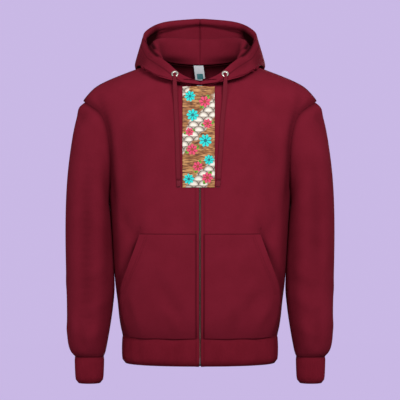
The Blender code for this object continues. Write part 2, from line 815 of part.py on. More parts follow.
def build_pockets():
    columns = 10
    bottom = POCKET_EDGE.rows[0][0]
    top = POCKET_EDGE.rows[-1][0]
    heights = [bottom] + [z for z in lower_heights() if bottom < z < top - 0.01] + [top]
    rows = []
    for z in heights:
        edge = POCKET_EDGE.at(z).x
        v = (z - bottom) / (top - bottom)
        points = []
        for column in range(columns + 1):
            u = column / columns
            lift = POCKET_LIFT * math.sin(math.pi * v) * math.sin(math.pi * u * POCKET_LIFT_REACH)
            x = mix(POCKET_INNER_X, edge, math.sin(u * math.pi / 2))
            points.append(torso_point(x, z, -1, CLOTH + LAYER_GAP + lift))
        rows.append(points)
    for name, sign in (("pocket_left", 1), ("pocket_right", -1)):
        thicken(grid_object(name, mirrored(rows, sign), BURGUNDY, flip=sign < 0), CLOTH)


def centre_front(z, out):
    """Point on the centre line of the front, torso or hem band."""
    if z >= HEM_SEAM_Z:
        return torso_point(0.0001, z, -1, out)
    return Vector((0, -HEM.at(z).front - out, z))


def zip_strip(name, width, thickness, out, finish, top_z):
    upper_steps = 13
    heights = [HEM_BOTTOM_Z + 0.001, HEM.rows[1][0], HEM_SEAM_Z - 0.006, HEM_SEAM_Z]
    heights += [HEM_SEAM_Z + 0.006] + lower_heights()[1:]
    heights += [mix(UNDERARM_Z, top_z, step / upper_steps) for step in range(upper_steps + 1)]
    rows = []
    for z in heights:
        centre = centre_front(z, out)
        rows.append([centre + Vector((x, 0, 0)) for x in (-width / 2, width / 2)])
    thicken(grid_object(name, rows, finish), thickness)


def build_zip():
    zip_strip("zip_chain", CHAIN_WIDTH, CHAIN_THICKNESS, -CHAIN_SINK, ZIP_METAL, ZIP_TOP_Z)
    zip_strip("zip_tape", TAPE_WIDTH, TAPE_THICKNESS, -TAPE_DEPTH, TAPE_BURGUNDY, ZIP_TOP_Z)


def front_slope(z):
    """Lean of the centre front at a height, as a turn about X."""
    low = centre_front(z - 0.006, 0)
    high = centre_front(z + 0.006, 0)
    return -math.atan2(high.y - low.y, high.z - low.z)


def build_slider():
    width, plate, length = SLIDER_SIZE
    base = centre_front(SLIDER_Z, 0)
    mesh = bpy.data.meshes.new("zip_slider")
    bm = bmesh.new()
    neck = SLIDER_NECK
    top = SLIDER_LIFT + plate
    profile = (
        (-neck, -CHAIN_SINK / 4), (neck, -CHAIN_SINK / 4), (neck, SLIDER_LIFT),
        (width / 2, SLIDER_LIFT), (width / 2, top), (-width / 2, top),
        (-width / 2, SLIDER_LIFT), (-neck, SLIDER_LIFT))
    ends = [[bm.verts.new((x, -out, z)) for x, out in profile] for z in (-length / 2, length / 2)]
    low, high = ends
    count = len(profile)
    for index in range(count):
        after = (index + 1) % count
        bm.faces.new((low[index], high[index], high[after], low[after]))
    bm.faces.new(low)
    bm.faces.new(high[::-1])
    bmesh.ops.recalc_face_normals(bm, faces=bm.faces)
    bm.to_mesh(mesh)
    bm.free()
    slider = add_object("zip_slider", mesh, ZIP_METAL)
    slider.location = base
    slider.rotation_euler.x = front_slope(SLIDER_Z)


def build_pull():
    """Flat tab with an eye, lying on the slider and hanging down from it."""
    # half width, length and drop below the top of the tab's outline and of its eye
    curve = bpy.data.curves.new("zip_pull", "CURVE")
    curve.dimensions = "2D"
    curve.fill_mode = "BOTH"
    curve.extrude = PULL_THICKNESS / 2
    outlines = (
        (PULL_WIDTH / 2, PULL_LENGTH, 0.0),
        PULL_EYE,
    )
    for half_width, length, top in outlines:
        spline_data = curve.splines.new("POLY")
        corners = []
        for step in range(16):
            angle = math.tau * step / 16
            lift = 0.0 if math.sin(angle) > 0 else length - 2 * half_width
            corners.append((half_width * math.cos(angle),
                            half_width * math.sin(angle) - lift - half_width - top))
        spline_data.points.add(len(corners) - 1)
        for vertex, (x, y) in zip(spline_data.points, corners):
            vertex.co = (x, y, 0, 1)
        spline_data.use_cyclic_u = True
    pull = add_object("zip_pull", curve, ZIP_METAL)
    lean = front_slope(SLIDER_Z)
    out = SLIDER_LIFT + SLIDER_SIZE[1] + SEAM_GAP + PULL_THICKNESS / 2
    pull.location = centre_front(SLIDER_Z + 0.004, out)
    pull.rotation_euler.x = math.pi / 2 + lean


def build_panel():
    """Printed panel over the top of the zip, raised where the slider and its tab lie below it."""
    columns = 10
    rows_count = 14
    rows = []
    for row in range(rows_count + 1):
        z = mix(PANEL_Z[0], PANEL_Z[1], (row / rows_count) ** 0.8)
        points = []
        for column in range(columns + 1):
            x = mix(PANEL_X[0], PANEL_X[1], column / columns)
            beside = math.exp(-(x / PANEL_BUMP_HALF_WIDTH) ** 4)
            above = 1 / (1 + math.exp((PANEL_BUMP_BOTTOM_Z - z) / PANEL_BUMP_FADE))
            out = PANEL_THICKNESS + LAYER_GAP + PANEL_BUMP * beside * above
            point = torso_point(x + 0.00005, z, -1, out)
            points.append(point)
        rows.append(points)
    thicken(grid_object("chest_panel", rows, PRINT_CLOTH), PANEL_THICKNESS)


def hood_surface(turn, along):
    """Point and outward normal of the hood's outer face."""
    def at(t, s):
        profile = hood_profile(t, 60)
        return profile[round(s * 60)]

    step = 0.02
    point = at(turn, along)
    across = at(turn + step, along) - at(turn - step, along)
    up = at(turn, along + 0.04) - at(turn, along - 0.04)
    return point, across.cross(up).normalized()


def build_eyelets():
    point, normal = hood_surface(EYELET_TURN, EYELET_ALONG)
    if normal.y > 0:
        normal.negate()
    for name, sign in (("eyelet_left", 1), ("eyelet_right", -1)):
        mesh = bpy.data.meshes.new(name)
        bm = bmesh.new()
        middle = (EYELET_OUTER + EYELET_INNER) / 2
        half = (EYELET_OUTER - EYELET_INNER) / 2
        section = []
        for step in range(6):
            angle = -math.tau * step / 6
            section.append(bm.verts.new((middle + half * math.cos(angle), 0,
                                         EYELET_HEIGHT * (0.5 + 0.5 * math.sin(angle)))))
        for index in range(len(section)):
            bm.edges.new((section[index], section[(index + 1) % len(section)]))
        bm.to_mesh(mesh)
        bm.free()
        eyelet = add_object(name, mesh, NICKEL)
        turned = eyelet.modifiers.new("Turn", "SCREW")
        turned.steps = 16
        turned.render_steps = 16
        turned.use_merge_vertices = True
        turned.merge_threshold = 0.0001
        facing = Vector((sign * normal.x, normal.y, normal.z))
        eyelet.location = Vector((sign * point.x, point.y, point.z)) + facing * EYELET_LIFT
        eyelet.rotation_mode = "QUATERNION"
        eyelet.rotation_quaternion = facing.to_track_quat("Z", "Y")


# Drawcord routes from the eyelet's mouth to the tip's top, through points picked by hand
CORD_ROUTES = {
    "left": (
        (0.0568, -0.1144, -0.0342),
        (0.0571, -0.1166, -0.0333),
        (0.0574, -0.1192, -0.0352),
        (0.0575, -0.1207, -0.0410),
        (0.0572, -0.1216, -0.0500),
        (0.0562, -0.1236, -0.0680),
        (0.0545, -0.1264, -0.0950),
        (0.0500, -0.1328, -0.1400),
        (0.0470, -0.1387, -0.1900),
        (0.0435, -0.1420, -0.2400),
        (0.0412, -0.1434, -0.2750),
    ),
    "right": (
        (-0.0568, -0.1144, -0.0342),
        (-0.0571, -0.1166, -0.0333),
        (-0.0573, -0.1192, -0.0352),
        (-0.0572, -0.1207, -0.0410),
        (-0.0568, -0.1216, -0.0500),
        (-0.0560, -0.1236, -0.0680),
        (-0.0547, -0.1263, -0.0950),
        (-0.0525, -0.1327, -0.1400),
        (-0.0505, -0.1385, -0.1900),
        (-0.0490, -0.1416, -0.2400),
        (-0.0478, -0.1430, -0.2750),
    ),
}


def cord_route(side):
    """Points along the smooth route, closer together where the cord turns out of the eyelet."""
    fine = 200
    path = evenly(spline([Vector(point) for point in CORD_ROUTES[side]], 12), fine)
    return [path[round(fine * (step / CORD_POINTS) ** 1.5)] for step in range(CORD_POINTS + 1)]


def flat_cord(name, points):
    """A poly curve with filled caps, widened by its extrusion."""
    curve = bpy.data.curves.new(name, "CURVE")
    curve.dimensions = "3D"
    curve.twist_mode = "MINIMUM"
    curve.bevel_depth = CORD_THICKNESS / 2
    curve.bevel_resolution = 2
    curve.extrude = CORD_WIDTH / 2 - CORD_THICKNESS / 2
    curve.use_fill_caps = True
    path = curve.splines.new("POLY")
    path.points.add(len(points) - 1)
    for vertex, point in zip(path.points, points):
        vertex.co = (*point, 1)
        vertex.tilt = math.pi / 2
    add_object(name, curve, CORD_BURGUNDY)


def cord_tip(name, end, down):
    """Flat sleeve of film below the cord's end."""
    mesh = bpy.data.meshes.new(name)
    bm = bmesh.new()
    bmesh.ops.create_cube(bm, size=1.0)
    bmesh.ops.scale(bm, verts=bm.verts, vec=(TIP_WIDTH, TIP_THICKNESS, TIP_LENGTH))
    long_edges = [e for e in bm.edges if abs(e.verts[0].co.z - e.verts[1].co.z) > TIP_LENGTH / 2]
    bmesh.ops.bevel(bm, geom=long_edges, offset=TIP_THICKNESS * 0.3, segments=2, profile=0.5,
                    affect="EDGES", material=-1)
    bm.to_mesh(mesh)
    bm.free()
    tip = add_object(name, mesh, CLEAR_TIP)
    up = -down
    across = (Vector((1, 0, 0)) - up * up.x).normalized()
    tip.location = end + down * (SEAM_GAP + TIP_LENGTH / 2)
    tip.rotation_euler = Matrix((across, up.cross(across), up)).transposed().to_euler()


def build_cords():
    for side in ("left", "right"):
        points = cord_route(side)
        flat_cord(f"drawcord_{side}", points)
        cord_tip(f"cord_tip_{side}", points[-1], (points[-1] - points[-2]).normalized())


def build_labels():
    """Blank neck label and the narrower one behind it, hanging inside the back neck."""
    # name, top corners' x, bottom corners' x and z, place in front of the back's inside
    labels = (
        ("neck_label", -0.0150, 0.0078, -0.0105, 0.0118, -0.0385, -0.0330, 0.0745),
        ("care_label", -0.0092, 0.0050, -0.0075, 0.0060, -0.0510, -0.0500, 0.0765),
    )
    top_z = -0.0028
    rows_count = 5
    for name, left_top, right_top, left_low, right_low, left_z, right_z, depth in labels:
        rows = []
        for row in range(rows_count + 1):
            v = row / rows_count
            bend = 0.001 * math.sin(math.pi * v)
            rows.append([
                Vector((mix(left_low, left_top, v), depth - bend, mix(left_z, top_z, v))),
                Vector((mix(right_low, right_top, v), depth - bend, mix(right_z, top_z, v))),
            ])
        thicken(grid_object(name, rows, LABEL_WHITE), 0.0006)


def build():
    for obj in list(bpy.data.objects):
        bpy.data.objects.remove(obj)
    collection = bpy.data.collections.new("zip_up_hoodie")
    bpy.context.scene.collection.children.link(collection)
    build_fronts()
    build_back()
    build_sleeves()
    build_hood()
    build_hem()
    build_cuffs()
    build_pockets()
    build_zip()
    build_slider()
    build_pull()
    build_panel()
    build_eyelets()
    build_cords()
    build_labels()


build()
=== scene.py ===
# Zip up hoodie: the finished look of each piece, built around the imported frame.
import json
import math

import bmesh
import bpy
import numpy as np
from mathutils import Matrix, Vector
from mathutils.bvhtree import BVHTree
from mathutils.kdtree import KDTree

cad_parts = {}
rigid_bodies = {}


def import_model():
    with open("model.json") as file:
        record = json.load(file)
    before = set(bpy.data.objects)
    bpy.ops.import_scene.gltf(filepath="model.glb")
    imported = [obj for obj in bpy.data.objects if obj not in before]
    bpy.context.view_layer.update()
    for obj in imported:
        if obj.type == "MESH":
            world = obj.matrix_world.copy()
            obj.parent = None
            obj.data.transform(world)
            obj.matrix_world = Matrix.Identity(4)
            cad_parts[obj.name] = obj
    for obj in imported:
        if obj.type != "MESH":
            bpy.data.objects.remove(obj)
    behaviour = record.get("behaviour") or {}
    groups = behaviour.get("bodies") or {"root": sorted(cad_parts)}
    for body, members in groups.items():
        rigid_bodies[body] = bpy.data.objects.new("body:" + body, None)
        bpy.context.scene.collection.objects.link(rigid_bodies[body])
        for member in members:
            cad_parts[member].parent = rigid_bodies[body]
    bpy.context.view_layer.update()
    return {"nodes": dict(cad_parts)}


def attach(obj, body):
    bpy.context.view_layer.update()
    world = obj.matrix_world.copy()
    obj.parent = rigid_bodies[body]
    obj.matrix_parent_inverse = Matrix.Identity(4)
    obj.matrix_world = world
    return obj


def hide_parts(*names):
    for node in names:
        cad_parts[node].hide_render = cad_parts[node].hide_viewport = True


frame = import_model()

scene = bpy.context.scene
scene.view_settings.view_transform = "Standard"


# Camera and light

cameraPlan = {"distance": 4.2, "height": -0.3188, "frameWidth": 0.924, "sensor": 36.0}


def makeCamera(plan):
    data = bpy.data.cameras.new("camera")
    data.sensor_width = plan["sensor"]
    data.lens = plan["sensor"] * plan["distance"] / plan["frameWidth"]
    camera = bpy.data.objects.new("camera", data)
    camera.location = (0, -plan["distance"], plan["height"])
    camera.rotation_euler = (math.pi / 2, 0, 0)
    scene.collection.objects.link(camera)
    scene.camera = camera


makeCamera(cameraPlan)
print("camera placed")


# Shader maths

class Link:
    # a shader socket that takes part in arithmetic
    def __init__(self, finish, socket):
        self.finish = finish
        self.socket = socket

    def calc(self, operation, *others):
        return self.finish.node("Math", {"operation": operation}, [self, *others])

    def __add__(self, other):
        return self.calc("ADD", other)

    def __sub__(self, other):
        return self.calc("SUBTRACT", other)

    def __mul__(self, other):
        return self.calc("MULTIPLY", other)

    def __truediv__(self, other):
        return self.calc("DIVIDE", other)

    def __rsub__(self, other):
        return self.finish.node("Math", {"operation": "SUBTRACT"}, [other, self])

    __radd__ = __add__


class Finish:
    # one material, put together node by node
    def __init__(self, name, constants):
        self.material = bpy.data.materials.new(name)
        self.material.use_nodes = True
        self.tree = self.material.node_tree
        self.shader = self.tree.nodes["Principled BSDF"]
        for socket, value in constants.items():
            self.shader.inputs[socket].default_value = value

    def node(self, kind, settings=(), inputs=(), out=0):
        made = self.tree.nodes.new("ShaderNode" + kind)
        for key, value in dict(settings).items():
            setattr(made, key, value)
        for key, value in (inputs.items() if isinstance(inputs, dict) else enumerate(inputs)):
            if isinstance(value, Link):
                self.tree.links.new(value.socket, made.inputs[key])
            else:
                made.inputs[key].default_value = value
        return Link(self, made.outputs[out])

    def feed(self, socket, value):
        self.tree.links.new(value.socket, self.shader.inputs[socket])

    def blend(self, share, first, second):
        inputs = {0: share}
        for index, colour in ((6, first), (7, second)):
            inputs[index] = colour if isinstance(colour, Link) else (*colour, 1)
        return self.node("Mix", {"data_type": "RGBA", "clamp_factor": True}, inputs, out=2)

    def noise(self, place, scale, detail):
        return self.node("TexNoise", {}, {"Vector": place, "Scale": scale, "Detail": detail}, out="Fac")

    def bump(self, height, distance, strength):
        normal = self.node("Bump", {}, {"Strength": strength, "Distance": distance, "Height": height})
        self.feed("Normal", normal)

    def axis(self, vector, name):
        return self.node("SeparateXYZ", {}, [vector], out=name)

    def objectPlace(self):
        return self.node("TexCoord", {}, out="Object")

    def clothPlace(self):
        return self.node("UVMap", {"uv_map": "cloth"})

    def value(self, name):
        return self.node("Attribute", {"attribute_name": name}, out="Fac")


def remap(link, low, high):
    # 0 at low, 1 at high, smooth between
    return link.finish.node("MapRange", {"interpolation_type": "SMOOTHSTEP"},
                            {"Value": link, "From Min": low, "From Max": high})


def wave(link, pitch):
    # a smooth wave of the given pitch, 0 to 1
    return (link * (math.tau / pitch)).calc("SINE") * 0.5 + 0.5


sheenTint = (0.80, 0.16, 0.24, 1)
# the near black colour given for seams is also the colour of painted shade
fleece = {
    "light": (0.172, 0.0107, 0.0248), "dark": (0.143, 0.0084, 0.0194), "seam": (0.014, 0.0006, 0.0016),
    "wale": 0.0013, "course": 0.0011, "nap": 900.0, "mottle": 22.0, "sheen": 0.014,
}
ribKnit = {
    "light": (0.164, 0.0093, 0.0212), "dark": (0.133, 0.0070, 0.0162), "seam": (0.014, 0.0006, 0.0016),
    "wale": 0.00145, "course": 0.0012, "nap": 800.0, "mottle": 30.0, "sheen": 0.010,
}
# what both knits share
knit = {"fibre": 0.35, "shades": (0.30, 0.70), "seamAndShadeShare": 0.92, "roughFrom": 0.86, "roughVary": 0.12,
        "bump": 0.00035, "bumpShare": 0.6}


def knitFinish(name, plan):
    finish = Finish(name, {
        "Roughness": 0.95, "Specular IOR Level": 0.03, "Sheen Weight": plan["sheen"],
        "Sheen Roughness": 0.55, "Sheen Tint": sheenTint})
    place = finish.objectPlace()
    cloth = finish.clothPlace()
    across = finish.axis(cloth, "X")
    along = finish.axis(cloth, "Y")
    wale = wave(across, plan["wale"])
    stitch = wave(along + (across / plan["wale"]).calc("PINGPONG", 0.5) * plan["course"], plan["course"])
    nap = finish.noise(place, plan["nap"], 3.0)
    mottle = finish.noise(place, plan["mottle"], 3.0)
    fibre = finish.noise(place, plan["nap"] * knit["fibre"], 2.0)
    shade = mottle * 0.45 + nap * 0.30 + fibre * 0.25
    colour = finish.blend(remap(shade, *knit["shades"]), plan["dark"], plan["light"])
    # this attribute darkens the cloth along seams and paints shade into creases, hollows and whole shaded
    # pieces
    colour = finish.blend(finish.value("seam") * knit["seamAndShadeShare"], colour, plan["seam"])
    finish.feed("Base Color", colour)
    finish.feed("Roughness", knit["roughFrom"] + nap * knit["roughVary"])
    finish.bump(wale * 0.35 + stitch * 0.20 + nap * 0.45 + fibre * 0.4, knit["bump"], knit["bumpShare"])
    return finish.material


threadPlan = {"dark": (0.070, 0.0040, 0.0085), "light": (0.112, 0.0062, 0.0135), "twist": 0.0006}


def threadFinish(plan):
    finish = Finish("thread", {"Roughness": 0.85, "Specular IOR Level": 0.04})
    place = finish.objectPlace()
    twist = wave(finish.axis(place, "X") + finish.axis(place, "Z"), plan["twist"])
    finish.feed("Base Color", finish.blend(twist, plan["dark"], plan["light"]))
    return finish.material


metals = {
    "nickel": {"light": (0.86, 0.84, 0.77), "dark": (0.62, 0.60, 0.53), "roughness": 0.34},
    "zipMetal": {"light": (0.44, 0.38, 0.30), "dark": (0.20, 0.17, 0.13), "roughness": 0.50},
    "stopMetal": {"light": (0.060, 0.060, 0.050), "dark": (0.030, 0.030, 0.026), "roughness": 0.45},
}
# grain sizes of tarnish and scratches, and how far scratches vary the roughness
metalWear = {"tarnish": 350.0, "tarnishEnds": (0.35, 0.70), "scratch": 2500.0, "roughVary": 0.12,
             "bump": 0.00004}


def metalFinish(name):
    plan = metals[name]
    finish = Finish(name, {"Metallic": 1.0, "Roughness": plan["roughness"]})
    place = finish.objectPlace()
    tarnish = finish.noise(place, metalWear["tarnish"], 3.0)
    scratch = finish.noise(place, metalWear["scratch"], 1.0)
    worn = remap(tarnish, *metalWear["tarnishEnds"])
    finish.feed("Base Color", finish.blend(worn, plan["light"], plan["dark"]))
    finish.feed("Roughness", plan["roughness"] + scratch * metalWear["roughVary"])
    finish.bump(scratch, metalWear["bump"], 0.5)
    return finish.material


braid = {"dark": (0.085, 0.0045, 0.0110), "light": (0.185, 0.0100, 0.0245), "plait": 0.0018,
         "strand": 0.0016, "nap": 1200.0, "bump": 0.0004}


def cordFinish(plan):
    finish = Finish("drawcord", {"Roughness": 0.8, "Specular IOR Level": 0.12, "Sheen Weight": 0.04,
                                 "Sheen Tint": sheenTint})
    cloth = finish.clothPlace()
    along = finish.axis(cloth, "X")
    across = finish.axis(cloth, "Y")
    zigzag = (across / plan["strand"]).calc("PINGPONG", 0.5) * plan["plait"]
    plait = wave(along + zigzag, plan["plait"])
    groove = wave(across, plan["strand"])
    nap = finish.noise(finish.objectPlace(), plan["nap"], 2.0)
    # the plait and its strands are darker where the bump lies low: painted shade in the braid's hollows,
    # with random nap
    shade = plait * 0.4 + groove * 0.35 + nap * 0.25
    finish.feed("Base Color", finish.blend(shade, plan["dark"], plan["light"]))
    finish.bump(plait * 0.6 + groove * 0.5 + nap * 0.2, plan["bump"], 0.8)
    return finish.material


def filmFinish():
    finish = Finish("tipFilm", {"Base Color": (0.20, 0.06, 0.08, 1), "Roughness": 0.16, "Alpha": 0.07,
                                "Specular IOR Level": 0.25, "Coat Weight": 0.10, "Coat Roughness": 0.1})
    return finish.material


tapeWeave = {"dark": (0.030, 0.003, 0.006), "light": (0.075, 0.006, 0.013), "rib": 0.0011, "warp": 0.0009,
             "bump": 0.0002}


def tapeFinish(plan):
    finish = Finish("zipTape", {"Roughness": 0.75, "Sheen Weight": 0.15})
    place = finish.objectPlace()
    across = finish.axis(place, "X")
    rib = wave(finish.axis(place, "Z") + across * 0.5, plan["rib"])
    warp = wave(across, plan["warp"])
    # the ribs and warp are darker where the bump lies low: painted shade in the weave's hollows
    finish.feed("Base Color", finish.blend(rib * 0.5 + warp * 0.5, plan["dark"], plan["light"]))
    finish.bump(rib * 0.6 + warp * 0.4, plan["bump"], 0.7)
    return finish.material


satinPlan = {
    "white": (0.46, 0.47, 0.50), "fold": (0.30, 0.31, 0.34), "satin": 0.0007, "crumple": 260.0,
    "band": (0.008, 0.110, 0.130), "bandLift": 0.0285, "bandSlant": 0.14, "bandHalf": 0.0072,
    "bandEdge": 0.0003, "bump": 0.0003,
}


def labelFinish(name, bandHeights=None):
    # plain satin, and a block of colour between two heights where they are given
    plan = satinPlan
    finish = Finish(name, {"Roughness": 0.55, "Sheen Weight": 0.2})
    place = finish.objectPlace()
    across = finish.axis(place, "X")
    height = finish.axis(place, "Z")
    satin = wave(across + height * 0.35, plan["satin"])
    crumple = finish.noise(place, plan["crumple"], 2.0)
    # the satin's lines and crumples are greyed with the fold colour, as painted shade of small folds
    colour = finish.blend(satin * 0.35 + crumple * 0.35, plan["white"], plan["fold"])
    if bandHeights:
        low, high = bandHeights
        edge = plan["bandEdge"]
        half = plan["bandHalf"]
        band = remap(height, low - edge, low) * (1 - remap(height, high, high + edge))
        slant = across + (height + plan["bandLift"]) * plan["bandSlant"]
        band = band * remap(slant, -half, edge - half) * (1 - remap(slant, half, half + edge))
        colour = finish.blend(band, colour, plan["band"])
    finish.feed("Base Color", colour)
    finish.bump(satin * 0.4 + crumple, plan["bump"], 0.6)
    return finish.material


# The printed panel: level warm streaks, cream scallops, turquoise rosettes and pink blossoms with leaves

printPlan = {
    "gold": (0.560, 0.285, 0.105), "tan": (0.330, 0.125, 0.036), "brown": (0.075, 0.020, 0.007),
    "cream": (0.800, 0.740, 0.650), "creamShade": (0.400, 0.330, 0.270), "creamLine": (0.085, 0.060, 0.050),
    "turquoise": (0.004, 0.640, 0.600), "deepTurquoise": (0.002, 0.130, 0.150),
    "pink": (0.720, 0.055, 0.140), "deepPink": (0.230, 0.006, 0.028), "heart": (0.280, 0.050, 0.015),
    "leaf": (0.150, 0.420, 0.025), "leafShade": (0.030, 0.110, 0.010), "weaveShade": (0.05, 0.03, 0.02),
    "scallop": 0.0220, "drift": 0.100, "streak": 430.0, "board": 120.0, "stretch": 0.16,
    "wander": 38.0, "grain": 420.0, "weave": 0.0008, "weaveShare": 0.12, "leafTurn": 0.9, "bump": 0.00015,
}
# kind, x and z of the middle, radius, turn in degrees
printMotifs = (
    ("rosette", -0.0225, -0.0860, 0.0128, 10),
    ("blossom", 0.0105, -0.0985, 0.0142, 20),
    ("rosette", -0.0165, -0.1285, 0.0140, 40),
    ("blossom", 0.0170, -0.1475, 0.0120, -25),
    ("blossom", -0.0235, -0.1665, 0.0108, 160),
    ("rosette", 0.0120, -0.1860, 0.0150, 25),
    ("blossom", -0.0175, -0.2060, 0.0138, -15),
    ("rosette", 0.0200, -0.2290, 0.0118, 5),
    ("blossom", -0.0050, -0.2440, 0.0125, 30),
    ("rosette", -0.0250, -0.2720, 0.0125, 50),
    ("blossom", 0.0165, -0.2690, 0.0135, 200),
)


def streakGround(finish, plan, x, z, wander):
    # long level streaks: the noise is stretched along x
    stretched = finish.node("CombineXYZ", {}, [x * plan["stretch"], 0.0, z + wander * 0.003])
    streak = finish.noise(stretched, plan["streak"], 3.0)
    board = finish.noise(stretched, plan["board"], 1.0)
    wood = finish.blend(remap(streak, 0.34, 0.58), plan["brown"], plan["tan"])
    return finish.blend(remap(streak * 0.6 + board * 0.4, 0.48, 0.62), wood, plan["gold"])


def scallopCover(finish, plan, x, z, wander):
    # overlapping cream scales, every other row moved on by half a scale
    rowHeight = plan["scallop"] * 0.5
    row = (z / rowHeight).calc("FLOOR")
    shifted = x + row.calc("MODULO", 2.0) * (plan["scallop"] / 2) + wander * 0.006
    cellX = ((shifted / plan["scallop"]).calc("FRACT") - 0.5) * plan["scallop"]
    cellZ = (z / rowHeight).calc("FRACT") * rowHeight
    reach = (cellX * cellX + cellZ * cellZ).calc("SQRT") / (plan["scallop"] * 0.5)
    scale = finish.blend(remap(reach, 0.45, 0.95), plan["cream"], plan["creamShade"])
    outline = remap(reach, 0.90, 0.98) * (1 - remap(reach, 1.04, 1.12))
    return finish.blend(outline, scale, plan["creamLine"])


def rosetteOver(finish, plan, colour, angle, reach):
    lobe = (angle * 4).calc("COSINE").calc("ABSOLUTE")
    inside = 1 - remap(reach - lobe * 0.30, 0.62, 0.70)
    ray = remap(lobe + reach * 0.25, 0.42, 0.62) * remap(reach, 0.20, 0.28)
    return finish.blend(inside, colour, finish.blend(ray, plan["deepTurquoise"], plan["turquoise"]))


def blossomOver(finish, plan, colour, angle, reach):
    leafEdge = (angle + plan["leafTurn"]).calc("SINE").calc("ABSOLUTE").calc("POWER", 5.0) * 1.25
    leaf = 1 - remap(reach - leafEdge, -0.06, 0.04)
    vein = remap((angle + plan["leafTurn"]).calc("COSINE").calc("ABSOLUTE"), 0.0, 0.20)
    colour = finish.blend(leaf, colour, finish.blend(vein, plan["leafShade"], plan["leaf"]))
    lobe = (angle * 3.5).calc("COSINE").calc("ABSOLUTE")
    inside = 1 - remap(reach - lobe * 0.26, 0.60, 0.68)
    petal = finish.blend(remap(lobe + reach * 0.30, 0.40, 0.78), plan["deepPink"], plan["pink"])
    return finish.blend(inside, colour, finish.blend(1 - remap(reach, 0.20, 0.30), petal, plan["heart"]))


def printFinish(plan, motifs):
    finish = Finish("printedPanel", {"Roughness": 0.6, "Specular IOR Level": 0.3})
    place = finish.objectPlace()
    x = finish.axis(place, "X")
    z = finish.axis(place, "Z")
    wander = finish.noise(place, plan["wander"], 2.0)
    grain = finish.noise(place, plan["grain"], 3.0)
    ground = streakGround(finish, plan, x, z, wander)
    cover = scallopCover(finish, plan, x, z, wander)
    # the scallops lie over the streaks in slanting drifts
    drift = (x * 0.9 - z * 0.75 + wander * 0.030) * (math.tau / plan["drift"])
    colour = finish.blend(remap(drift.calc("SINE") + grain * 0.2, 0.35, 0.62), ground, cover)
    for kind, middleX, middleZ, radius, turn in motifs:
        awayX = x - middleX
        awayZ = z - middleZ
        angle = awayZ.calc("ARCTAN2", awayX) - math.radians(turn)
        reach = (awayX * awayX + awayZ * awayZ).calc("SQRT") / radius
        over = rosetteOver if kind == "rosette" else blossomOver
        colour = over(finish, plan, colour, angle, reach)
    weave = wave(x, plan["weave"]) * wave(z, plan["weave"])
    colour = finish.blend(weave * plan["weaveShare"], colour, plan["weaveShade"])
    finish.feed("Base Color", colour)
    finish.feed("Roughness", 0.5 + grain * 0.2)
    finish.bump(weave * 0.5 + grain * 0.5, plan["bump"], 0.6)
    return finish.material


finishes = {
    "fleece": knitFinish("burgundyFleece", fleece),
    "rib": knitFinish("burgundyRib", ribKnit),
    "thread": threadFinish(threadPlan),
    "nickel": metalFinish("nickel"),
    "zipMetal": metalFinish("zipMetal"),
    "cord": cordFinish(braid),
    "film": filmFinish(),
    "tape": tapeFinish(tapeWeave),
    "stopMetal": metalFinish("stopMetal"),
    "panel": printFinish(printPlan, printMotifs),
    "neckLabel": labelFinish("neckLabel", (-0.0352, -0.0225)),
    "careLabel": labelFinish("careLabel"),
}
print("finishes made")


# Mesh helpers

def addObject(name, mesh, materials):
    made = bpy.data.objects.new(name, mesh)
    scene.collection.objects.link(made)
    mesh.materials.clear()
    for material in materials:
        mesh.materials.append(finishes.get(material, material))
    return made


def baked(made):
    # the object's mesh with its modifiers applied
    depsgraph = bpy.context.evaluated_depsgraph_get()
    mesh = bpy.data.meshes.new_from_object(made.evaluated_get(depsgraph))
    made.modifiers.clear()
    if made.type == "MESH":
        made.data = mesh
        return made
    # a curve becomes a mesh object of the same name
    name = made.name
    bpy.data.objects.remove(made)
    turned = bpy.data.objects.new(name, mesh)
    scene.collection.objects.link(turned)
    return turned


def modifier(made, kind, **settings):
    added = made.modifiers.new(kind.title(), kind)
    for key, value in settings.items():
        setattr(added, key, value)


def wear(made, nodes):
    # the piece stands for these nodes of the frame and moves with its one body
    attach(made, "root")
    if nodes:
        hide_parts(*nodes)


def eased(share):
    # 0 to 1 with a soft start and end
    return share * share * (3 - 2 * share)


def smoothPath(points, perSpan):
    # Catmull-Rom curve through the points
    out = []
    last = len(points) - 1
    for index in range(last):
        p0 = points[max(index - 1, 0)]
        p1 = points[index]
        p2 = points[index + 1]
        p3 = points[min(index + 2, last)]
        for step in range(perSpan):
            t = step / perSpan
            out.append(0.5 * (2 * p1 + (p2 - p0) * t + (2 * p0 - 5 * p1 + 4 * p2 - p3) * t * t
                              + (3 * p1 - p0 - 3 * p2 + p3) * t ** 3))
    out.append(points[-1].copy())
    return out


def lengthsAlong(points):
    return np.concatenate([[0], np.cumsum([(b - a).length for a, b in zip(points, points[1:])])])


def evenPath(points, count):
    # the same path with count + 1 points at equal steps
    reach = lengthsAlong(points)
    wanted = np.linspace(0, reach[-1], count + 1)
    spots = np.array(points)
    return [Vector(p) for p in np.stack([np.interp(wanted, reach, spots[:, k]) for k in range(3)], axis=1)]


def scatter(name, template, frames, materials):
    # one mesh from many copies of a small one
    base = np.array([v.co for v in template.verts])
    faces = [[v.index for v in f.verts] for f in template.faces]
    spots = []
    polys = []
    for index, spot in enumerate(frames):
        turned = base @ np.array(spot.to_3x3()).T + np.array(spot.translation)
        spots.append(turned)
        polys.extend([[k + index * len(base) for k in face] for face in faces])
    mesh = bpy.data.meshes.new(name)
    mesh.from_pydata(np.concatenate(spots).tolist(), [], polys)
    mesh.shade_smooth()
    return addObject(name, mesh, materials)


# Drawcords

cordPlan = {
    "length": 0.25, "width": 0.0094, "thickness": 0.0024, "points": 44,
    "bunch": 0.62, "bunchReach": 0.030,  # how far the eyelet gathers the cord in, and over what length
    "perSpan": 16, "fine": 240, "crowding": 1.3,  # the points lie closer together near the eyelet
    "weld": 0.00001,
}
